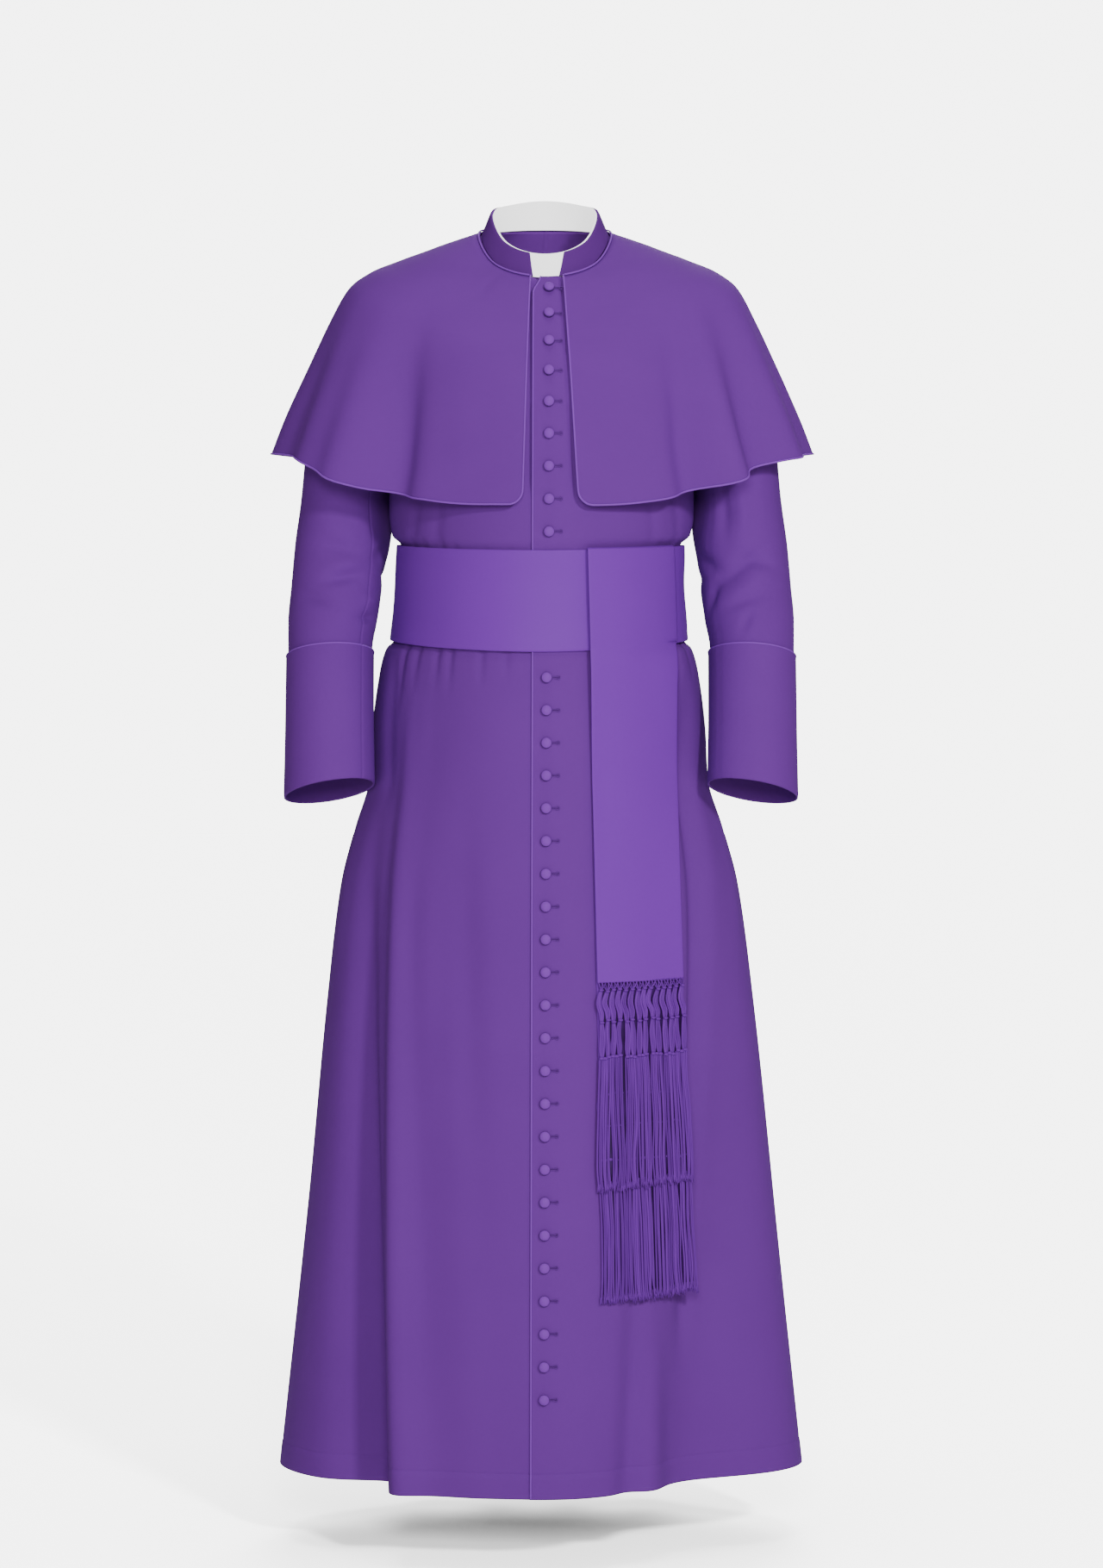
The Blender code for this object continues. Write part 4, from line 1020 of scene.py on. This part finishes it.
def cape(at, height):
    """The cape's outer face, with its flutes and creases."""
    points = on_ring(ring_at(CAPE, height), at)
    share = np.clip((CAPE_NECK - height) / (CAPE_NECK - CAPE_HEM), 0.0, 1.0)
    level = np.interp(turn_between(at, 0.0), *zip(*HEM_LEVELS))
    points[..., 2] += level * share ** 2
    lift = np.zeros(points.shape[:-1])
    for flute in FLUTES:
        t = (flute.start - height) / (flute.start - CAPE_HEM)
        lift = lift + flute.lift * ease(t) * bell(turn_between(at, flute.at), flute.half)
    for crease in CAPE_CREASES:
        line = crease.at + crease.lean * (height - crease.height) / 100.0
        across = bell(np.radians(turn_between(at, line)) * CAPE_RADIUS, crease.half)
        lift = lift + crease.lift * across * bell(height - crease.height, crease.length)
    return points + outward(at) * lift[..., None]


def cape_edge(span, height):
    """Angle of a front edge that stands at span[0] at the neck and span[1] at the hem."""
    t = (height - CAPE_NECK) / (CAPE_HEM - CAPE_NECK)
    ring = ring_at(CAPE, height)
    return np.degrees(np.arcsin((mix(*span, t) - ring.shift) / ring.r_0))


# The grid's first row follows the cape's edge: round one front corner, along the hem, and round
# the other corner.
inset = CAPE_CORNER * (1.0 - np.cos(np.radians(np.linspace(0.0, 90.0, 11))))
corner = CAPE_HEM + CAPE_CORNER - np.sqrt(CAPE_CORNER ** 2 - (CAPE_CORNER - inset) ** 2)
inner = np.linspace(0.0, 1.0, 232)[1:-1]
hem_height = np.concatenate((corner, np.full(len(inner), CAPE_HEM), corner[::-1]))[None, :]
share = marks((0.0, 0.004), (0.012, 0.0175), (1.0, 0.0175))[:, None]
height = mix(hem_height, CAPE_NECK, share)
reach = ring_at(CAPE, height).r_0
count = len(inset)
full = np.full(len(inner) + count, CAPE_CORNER)
from_right = np.concatenate((inset, full))[None, :]
from_left = np.concatenate((full, inset[::-1]))[None, :]
right_end = cape_edge(CAPE_EDGE_RIGHT, height) - np.degrees(from_right / reach)
left_end = cape_edge(CAPE_EDGE_LEFT, height) - 360.0 + np.degrees(from_left / reach)
round_share = np.concatenate((np.zeros(count), inner, np.ones(count)))[None, :]
cape_points = cape(mix(right_end, left_end, round_share), height)[:, ::-1]
shoulder_cape = cloth("shoulder_cape", cape_points, WOOL, middle=120)
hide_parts("cape")

# ---- cape piping ---------------------------------------------------------------------------------
# The same satin piping, caught between the cape and its lining. It runs in one length down one
# front edge, along the hem and up the other.
path = np.concatenate((cape_points[::-1, 0], cape_points[0, 1:-1], cape_points[:, -1]))
inward = np.concatenate((cape_points[::-1, 1], cape_points[3, 1:-1], cape_points[:, -2]))
keep = np.concatenate(([True], np.linalg.norm(np.diff(path, axis=0), axis=1) > 0.5))
path = (path + unit(path - inward) * 0.8)[keep]
cape_piping = cord_piece("cape_piping_cord", path, PIPING_RADIUS + 0.1, SATIN)
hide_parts("cape_piping")

# ---- collar --------------------------------------------------------------------------------------
# A stiffened stand collar open at the front, of the wool over canvas, painted darker than the rest
# for the shade under a wearer's chin. Its neck seam carries a piping that goes on round the cape's
# neck.
COLLAR_WALL = 2.6
# painted shade: darker than the cassock's wool, for the shade a wearer's chin would cast on the
# collar
COLLAR_WOOL_PAINTED_SHADE = woven_paint("collar wool in painted shade", (0.104, 0.0200, 0.210), (0.126, 0.0255, 0.248),
                           roughness=0.76, sheen=0.05, threads=1500.0, slant=1.0, depth=0.0002)
COLLAR_FOOT_LIFT = 1.4
COLLAR_TALL = (28.0, 28.0, 28.0, 31.0, 34.0)
COLLAR_LEAN = (9.0, 10.0, 11.0, 9.0, 6.0)
NOTCH_RIGHT = (-11.0, -16.2)
NOTCH_LEFT = (13.0, 20.6)


def collar_face(at, rise):
    """The collar's outer face. rise is 0 at the neck seam and 1 at its top edge."""
    foot = on_ring(ring_at(BODY, np.asarray(NECK)), at)
    tall = around(COLLAR_TALL, at)
    up = COLLAR_FOOT_LIFT + (tall - COLLAR_FOOT_LIFT) * rise
    lean = around(COLLAR_LEAN, at) * rise
    return foot - outward(at) * lean[..., None] + np.stack((0.0 * up, 0.0 * up, up), axis=-1)


rise = marks((0.0, 0.02), (0.04, 0.07), (0.96, 0.02), (1.0, 0.02))[:, None]
share = edged(150)[None, :]
notch_right = mix(*NOTCH_RIGHT, rise)
notch_left = mix(*NOTCH_LEFT, rise) - 360.0
face = collar_face(mix(notch_left, notch_right, share), rise)
rounding = 0.5 * bell((1.0 - rise) * COLLAR_TALL[0], 1.4)
wave = 0.35 * np.sin(share * 17.0) * ease(rise)
points = out_from(face, wave - rounding)
collar = cloth("stand_collar", points, COLLAR_WOOL_PAINTED_SHADE, wall=COLLAR_WALL)
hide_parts("collar")

down = unit(cape_points[-2] - cape_points[-1])
path = cape_points[-1] + down * 1.2 + normals_of(cape_points)[-1] * 1.3
neck_piping = cord_piece("neck_piping_cord", path[::2], PIPING_RADIUS, SATIN)
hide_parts("collar_piping")

# ---- white collar band ---------------------------------------------------------------------------
# A smooth white band worn inside the collar. It shows in the notch and as a thin line above it.
# It glows with painted light: an emission makes it brighter than the lamps alone light it.
# painted light: the emission makes the band glow though it is no lamp
linen, shader = new_paint("white collar band", {
    "Roughness": 0.45, "Emission Color": (1.0, 1.0, 1.0, 1.0), "Emission Strength": 1.4})
spot = add_node(linen.node_tree, "ShaderNodeTexCoord").outputs["Object"]
plug(shader, {"Base Color": blend(linen.node_tree, cloudy(linen.node_tree, spot, 40.0),
                                  (0.80, 0.80, 0.81, 1.0), (0.86, 0.86, 0.86, 1.0))})

rise = marks((0.02, 0.03), (0.08, 0.08), (1.0, 0.01), (1.05, 0.01))[:, None]
share = np.linspace(0.0, 1.0, 121)[None, :]
face = collar_face(-360.0 * (1.0 - share), rise)
rounding = 0.3 * bell((1.05 - rise) * COLLAR_TALL[0], 0.6)
points = out_from(face, -(COLLAR_WALL + CLEARANCE) - rounding, closed=True)
band = cloth("white_band", points, linen, wall=1.0, closed=True)
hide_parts("collar_insert")

# ---- sash ----------------------------------------------------------------------------------------
# A wide sash of smooth, brighter silk, doubled and pressed, drawn round the waist and fastened out
# of sight on the left, where its two ends hang over each other.
BAND_LIFT = PLACKET_LIFT + CLEARANCE
SILK = woven_paint("sash silk", (0.184, 0.0295, 0.420), (0.205, 0.036, 0.460),
                   roughness=0.5, sheen=0.1, threads=1400.0, slant=0.0, depth=0.00008, nap=0.03)

height = marks((BAND_BOTTOM, 0.8), (BAND_BOTTOM + 3.2, 5.0), (BAND_TOP - 3.2, 0.8),
               (BAND_TOP, 0.8))[:, None]
at = np.linspace(-180.0, 180.0, 241)[None, :]
face = bare_body(at, height)
edge = np.minimum(height - BAND_BOTTOM, BAND_TOP - height)
waves_right = 0.7 * np.sin(height / 17.0 + at / 40.0) * bell(turn_between(at, -60.0), 40.0)
waves_left = 0.6 * np.sin(height / 13.0 - np.radians(2.0 * at))
waves_left = waves_left * bell(turn_between(at, 100.0), 50.0)
within = ease(edge / 20.0)
slack = waves_right * within + waves_left * within
hollow = 1.3 * ease(edge / 40.0) * bell(turn_between(at, -20.0), 50.0)
points = out_from(face, BAND_LIFT + WALL + slack - hollow - 0.5 * bell(edge, 1.0), closed=True)
sash_band = cloth("sash_round_waist", points, SILK, closed=True, middle=120)
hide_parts("sash_band")

# ---- sash ends -----------------------------------------------------------------------------------
# The two ends hang from the band's top edge, the shorter one in front, pressed flat with crisp
# edges and a little slack below the band.
Tail = namedtuple("Tail", "left_top right_top left_end right_end left_foot right_foot end foot "
                          "layers_band layers_below")
TAIL_FRONT = Tail(48.0, 142.0, 60.3, 158.0, 60.3, 170.0, -825.5, -1054.0, 2, 1)
TAIL_REAR = Tail(50.0, 142.0, 63.0, 161.0, 65.0, 175.0, -942.0, -1180.0, 1, 0)
TAIL_SLANT = 7.0
TAIL_SETTLES = 150.0


def tail_lift(tail, height):
    """How far a tail's outer face lies above the body's, or above the top front's where it is."""
    on_band = BAND_LIFT + tail.layers_band * (WALL + CLEARANCE)
    below = CLEARANCE + tail.layers_below * (WALL + CLEARANCE)
    return mix(on_band, below, ease((BAND_BOTTOM - WALL - height) / TAIL_SETTLES)) + WALL


def tail_x(tail, share, height):
    """x at a share of the way across a tail, which widens down to its fringe's foot."""
    t = np.minimum(1.0, (BAND_TOP - height) / (BAND_TOP - tail.end))
    below_end = np.maximum(0.0, (tail.end - height) / (tail.end - tail.foot))
    left = mix(mix(tail.left_top, tail.left_end, t), tail.left_foot, below_end)
    right = mix(mix(tail.right_top, tail.right_end, t), tail.right_foot, below_end)
    return mix(left, right, share)


def on_tail(tail, share, height, lift=0.0):
    """Points of a tail's outer face, lift further out, and their outward normals."""
    x = tail_x(tail, share, height)
    below_end = np.clip((tail.end - height) / (tail.end - tail.foot), 0.0, 1.0)
    height = height + TAIL_SLANT * below_end * (share - 0.5)
    near = np.stack([x - 1.0, x, x + 1.0, x, x])
    heights = np.stack([height, height, height, height - 1.0, height + 1.0])
    face = bare_body(grain_at_x(near, heights), heights)
    normal = unit(np.cross(face[2] - face[0], face[4] - face[3]))
    rise = placket_rise(face[1][..., 0]) + tail_lift(tail, height) + lift
    return face[1] + normal * np.asarray(rise)[..., None], normal


TAIL_SHARES = np.array((0.0, 0.008, 0.02, *np.linspace(0.04, 0.96, 24), 0.98, 0.992, 1.0))[None, :]
for name, tail, over, phase in (("front", TAIL_FRONT, 4.2, 0.6), ("rear", TAIL_REAR, 3.4, 2.4)):
    # over: how far the end goes back over the band's top edge
    height = marks((tail.end, 0.8), (tail.end + 3.0, 5.0), (BAND_TOP - 2.0, 2.0),
                   (BAND_TOP, 2.0))[:, None]
    height, share = np.broadcast_arrays(height, TAIL_SHARES)
    fall = ease((BAND_BOTTOM - 20.0 - height) / 120.0)
    edges = bell(np.minimum(share, 1.0 - share) * 100.0, 1.2)
    waves = 1.1 * np.sin(share * 3.4 + height / 150.0 + phase) - 0.5 * np.sin(share * 7.0 + phase)
    slack = fall * waves
    slack = slack + 1.4 * bell(height - BAND_BOTTOM + 26.0, 16.0) * bell(share - 0.9, 0.2)
    points, normal = on_tail(tail, share, height, lift=np.maximum(slack, -0.4) - 0.35 * edges)
    turns = np.radians(np.linspace(12.0, 90.0, 7))
    top, out = points[-1], normal[-1]
    up = np.array((0.0, 0.0, 1.0))
    curl = [top + up * over * 0.6 * math.sin(a) - out * over * (1.0 - math.cos(a)) for a in turns]
    points = np.concatenate((points, np.stack(curl)))
    end = cloth("sash_end_" + name, points, SILK, middle=15)
    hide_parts("sash_tail_" + name)

# ---- fringes -------------------------------------------------------------------------------------
# Each end finishes in a knotted silk fringe: strands drawn through the cloth's edge, tied in a row
# of small knots, parted and tied again twice, and left free below. The free strands clump a little
# and their cut ends open. Places across are shares of the end's width.
FRINGE_DARK = (0.026, 0.0046, 0.063)
FRINGE_MIDDLE = (0.104, 0.0155, 0.243)
FRINGE_LIGHT = (0.190, 0.033, 0.420)
# how much of a thread's tone, from dark to light, comes from what; the crown's part is painted
# light and shade
ALL_LIT = 0.22
CROWN_PAINTED_LIGHT = 0.40
OWN_LIT = 0.36
STREAKS_LIT = 0.8


def thread_paint():
    """Floss silk: each thread has a tone of its own, with a painted highlight on its crown and
    painted shade in its flanks.
    Across, the flat layer holds the thread's number and the share of its turn."""
    paint, shader = new_paint("fringe silk", {
        "Specular IOR Level": 0.14, "Sheen Weight": 0.04, "Sheen Tint": paler(FRINGE_LIGHT, 1.8)})
    tree = paint.node_tree
    flat = flat_spot(tree)
    across = split(tree, flat)["X"]
    turn = sum_of(tree, "MULTIPLY", sum_of(tree, "FRACT", across), math.tau)
    own = add_node(tree, "ShaderNodeTexWhiteNoise", {"W": sum_of(tree, "FLOOR", across)},
                   noise_dimensions="1D").outputs["Value"]
    drawn = add_node(tree, "ShaderNodeMapping", {"Vector": flat, "Scale": (14.0, 30.0, 1.0)})
    streak = cloudy(tree, drawn.outputs["Vector"], 1.0)
    # painted highlight on each thread's crown and painted shade in its flanks, by the turn round it
    lit = sum_of(tree, "MULTIPLY", sum_of(tree, "COSINE", turn), CROWN_PAINTED_LIGHT)
    lit = sum_of(tree, "ADD", lit, ALL_LIT)
    lit = sum_of(tree, "ADD", lit, sum_of(tree, "MULTIPLY", own, OWN_LIT))
    streaked = sum_of(tree, "MULTIPLY", sum_of(tree, "SUBTRACT", streak, 0.5), STREAKS_LIT)
    ramp = add_node(tree, "ShaderNodeValToRGB", {"Fac": sum_of(tree, "ADD", lit, streaked)})
    tones = ramp.color_ramp.elements
    tones[0].color = (*FRINGE_DARK, 1.0)
    tones[1].color = (*FRINGE_LIGHT, 1.0)
    tones.new(0.5).color = (*FRINGE_MIDDLE, 1.0)
    plug(shader, {
        "Base Color": ramp.outputs["Color"], "Roughness": spread(tree, own, 0.42, 0.6),
        "Normal": bump(tree, streak, 0.5, 0.0003)})
    return paint


FRINGE = thread_paint()
BUNDLES = 14
CLUMPS = 7
STRANDS_PER_CLUMP = 7
KNOT_ROWS = (9.0, 43.0, 83.0)       # below the cloth's edge
KNOTS_APART = 0.040     # in the lowest row, where three knots tie two bundles into a clump
BUNDLES_APART = 0.033
BUNDLE_SPREAD = 0.0200
BUNDLE_SWAY = -0.024
HEADER_RADIUS = 0.85
STRAND_RADIUS = 1.6
HANGING_RADIUS = 1.27
PLY_RADII = (0.95, 0.8, 0.5)
draw = np.random.default_rng(5)
Patch = namedtuple("Patch", "first step across down points normals")
# A fringe as it is knotted. press: how far its strands stand up, as the front one presses the rear
# one flat. numbers: the next thread's own number.
Knotting = namedtuple("Knotting", "bm flat patch press numbers")


def patch_below(tail):
    """A coarse grid of the face that the strands hang over, to look places up in."""
    across, down = 40, 60
    first = np.array((-0.15, -14.0))
    step = np.array((1.3 / across, (tail.end - tail.foot + 34.0) / down))
    share, drop = np.meshgrid(first[0] + step[0] * np.arange(across + 1),
                              first[1] + step[1] * np.arange(down + 1))
    points, normals = on_tail(tail, share, tail.end - drop)
    return Patch(first, step, across, down, points, normals)


def on_patch(patch, share, drop, lift):
    """Points that lie lift above the face, at shares across it and drops below the cloth's edge."""
    u = (np.asarray(share, float) - patch.first[0]) / patch.step[0]
    v = (np.asarray(drop, float) - patch.first[1]) / patch.step[1]
    i = np.clip(u.astype(int), 0, patch.across - 1)
    j = np.clip(v.astype(int), 0, patch.down - 1)
    s, t = (u - i)[..., None], (v - j)[..., None]
    point, normal = (
        mix(mix(grid[j, i], grid[j, i + 1], s), mix(grid[j + 1, i], grid[j + 1, i + 1], s), t)
        for grid in (patch.points, patch.normals))
    return point + normal * np.asarray(lift)[..., None], normal


def add_knot(knotting, share, drop, lift, wide, tall):
    """A small flattened knot lying on the face."""
    place, out = on_patch(knotting.patch, share, drop, lift * knotting.press)
    lean = Vector((0.0, -1.0, 0.0)).rotation_difference(Vector(out)).to_matrix().to_4x4()
    size = Matrix.Diagonal((wide * MM, 1.9 * MM, tall * MM, 1.0))
    bmesh.ops.create_uvsphere(knotting.bm, u_segments=10, v_segments=6, radius=1.0,
                              matrix=Matrix.Translation(Vector(place * MM)) @ lean @ size)


def add_strand(knotting, shares, drops, radius, lift, sides=6, steps=12):
    """A smooth strand through the given places across and below the cloth's edge."""
    s = np.linspace(0.0, 1.0, steps)
    share = through(np.linspace(0.0, 1.0, len(shares)), shares, s)
    drop = through(np.linspace(0.0, 1.0, len(drops)), drops, s)
    rise = np.interp(s, np.linspace(0.0, 1.0, len(lift)), lift)
    rise = rise * mix(knotting.press, 1.0, ease((drop - KNOT_ROWS[2] - 8.0) / 30.0))
    path, _ = on_patch(knotting.patch, share, drop, rise - WALL / 2)
    turns = next(knotting.numbers) + np.linspace(0.0, 0.999, sides + 1)[None, :]
    bend_grid(knotting.bm, knotting.flat, tube_points(path, radius, sides),
              across=turns + np.zeros((steps, 1)))


def add_bundle(knotting, ends, drops, bends, sway, last_lift):
    """Three strands side by side from knot to knot. bends: where they turn, from end to end."""
    thick = BUNDLE_SPREAD + draw.uniform(-0.0020, 0.0015)
    for k in (-1.0, 0.0, 1.0):
        wide, lift = k * thick, 1.9 - 0.5 * abs(k)
        shares = [ends[0] + wide * 0.5, mix(*ends, bends[0]) + sway + wide,
                  mix(*ends, bends[1]) + wide, ends[1] + wide * 0.5]
        falls = [drops[0], mix(*drops, 0.4), mix(*drops, 0.75), drops[1]]
        add_strand(knotting, shares, falls, STRAND_RADIUS, [0.9, lift, lift, last_lift])


for name, tail, press in (("front", TAIL_FRONT, 1.0), ("rear", TAIL_REAR, 0.25)):
    bm, flat = start_mesh()
    patch = patch_below(tail)
    knotting = Knotting(bm, flat, patch, press, itertools.count(1))
    first = [(i + 0.5 + draw.uniform(-0.08, 0.08)) / BUNDLES for i in range(BUNDLES)]
    second = [(i + 0.5 + draw.uniform(-0.16, 0.16)) / BUNDLES for i in range(BUNDLES)]
    third = [(i + 0.5 + draw.uniform(-0.08, 0.08)) / CLUMPS for i in range(CLUMPS)]
    low = [drop + draw.uniform(-1.6, 1.6, BUNDLES) for drop in KNOT_ROWS]
    for i in range(BUNDLES):
        add_knot(knotting, first[i], low[0][i], 1.7, 3.0, 1.5)
        add_knot(knotting, second[i], low[1][i], 1.8, 3.2, 1.5)
    for c in range(CLUMPS):
        for k in (-1.0, 0.0, 1.0):
            drop = low[2][c] + draw.uniform(-1.0, 1.0)
            add_knot(knotting, third[c] + k * KNOTS_APART, drop, 1.7, 3.2, 1.8)

    for i in range(BUNDLES):
        # the header: threads cross between the cloth's edge and the first knots
        for k in (-1.6, -0.6, 0.6, 1.6):
            root = min(max((i + 0.5 + 0.6 * k) / BUNDLES, 0.01), 0.99)
            shares = [root, mix(root, first[i], 0.55), first[i]]
            falls = [-1.0, low[0][i] * 0.5, low[0][i] + 1.0]
            add_strand(knotting, shares, falls, HEADER_RADIUS, [0.3, 1.9 + 0.5 * k, 1.2], steps=6)
        # two rows of open bundles that sway between the knots
        sway = BUNDLE_SWAY + draw.uniform(-0.014, 0.012)
        add_bundle(knotting, (first[i], second[i]), (low[0][i], low[1][i]), (0.0, 0.7), sway, 0.9)
        sway = draw.uniform(-0.018, 0.012)
        to = third[i // 2] + (-BUNDLES_APART if i % 2 == 0 else BUNDLES_APART)
        add_bundle(knotting, (second[i], to), (low[1][i], low[2][i // 2]), (0.3, 0.8), sway, 1.2)

    # a flat sheet behind the threads, painted in the dark shade of their flanks, stands for a
    # second layer of threads in shade
    length = tail.end - tail.foot
    share = np.array((0.03, 0.2, 0.4, 0.6, 0.8, 0.97, 0.97, 0.8, 0.6, 0.4, 0.2, 0.03, 0.03))
    lift = np.array((-1.5,) * 6 + (-1.9,) * 6 + (-1.5,))
    drop = np.linspace(1.0, length - 8.0, 24)[::-1, None]
    points, _ = on_patch(patch, *np.broadcast_arrays(share, drop, lift))
    # an across of 0.5 puts the sheet at a thread's back, where the ramp paints the flanks' dark
    # shade
    bend_grid(bm, flat, points, across=np.full(points.shape[:2], 0.5))
    # free strands, which end in plies that have opened a little
    for c in range(CLUMPS):
        drift = draw.uniform(-0.012, 0.012, 3)
        tight = draw.uniform(0.92, 1.02)
        for k in range(STRANDS_PER_CLUMP):
            aside = (k - (STRANDS_PER_CLUMP - 1) / 2) / STRANDS_PER_CLUMP
            start = third[c] + aside * 0.94 / CLUMPS
            rest = (c + 0.5 + aside * tight) / CLUMPS
            own = draw.uniform(-0.005, 0.005, 3)
            end = rest + draw.uniform(-0.010, 0.010)
            last = length + draw.uniform(-3.0, 2.0)
            shares = [start, mix(start, rest, 0.6) + drift[0] + own[0], rest + drift[1] + own[1],
                      rest + drift[2] + own[2], end]
            falls = [mix(low[2][c], last, t) for t in (0.0, 0.2, 0.5, 0.8)] + [last]
            layer = 0.7 + 0.8 * (k % 2) + draw.uniform(-0.25, 0.25)
            add_strand(knotting, shares, falls, HANGING_RADIUS + draw.uniform(-0.15, 0.12),
                       [1.2, layer, layer, layer, layer], steps=26)
            for ply in (-1.0, 0.0, 1.0):
                splay = end + ply * 0.012 + draw.uniform(-0.007, 0.007)
                falls = [last - 4.0, last + draw.uniform(2.0, 5.0)]
                lift = [layer, layer + draw.uniform(0.0, 1.6)]
                add_strand(knotting, [end + ply * 0.006, splay], falls, PLY_RADII, lift, sides=5,
                           steps=3)
    close_tubes(bm)
    fringe = piece("knotted_fringe_" + name, bm, FRINGE)
    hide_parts("fringe_" + name)
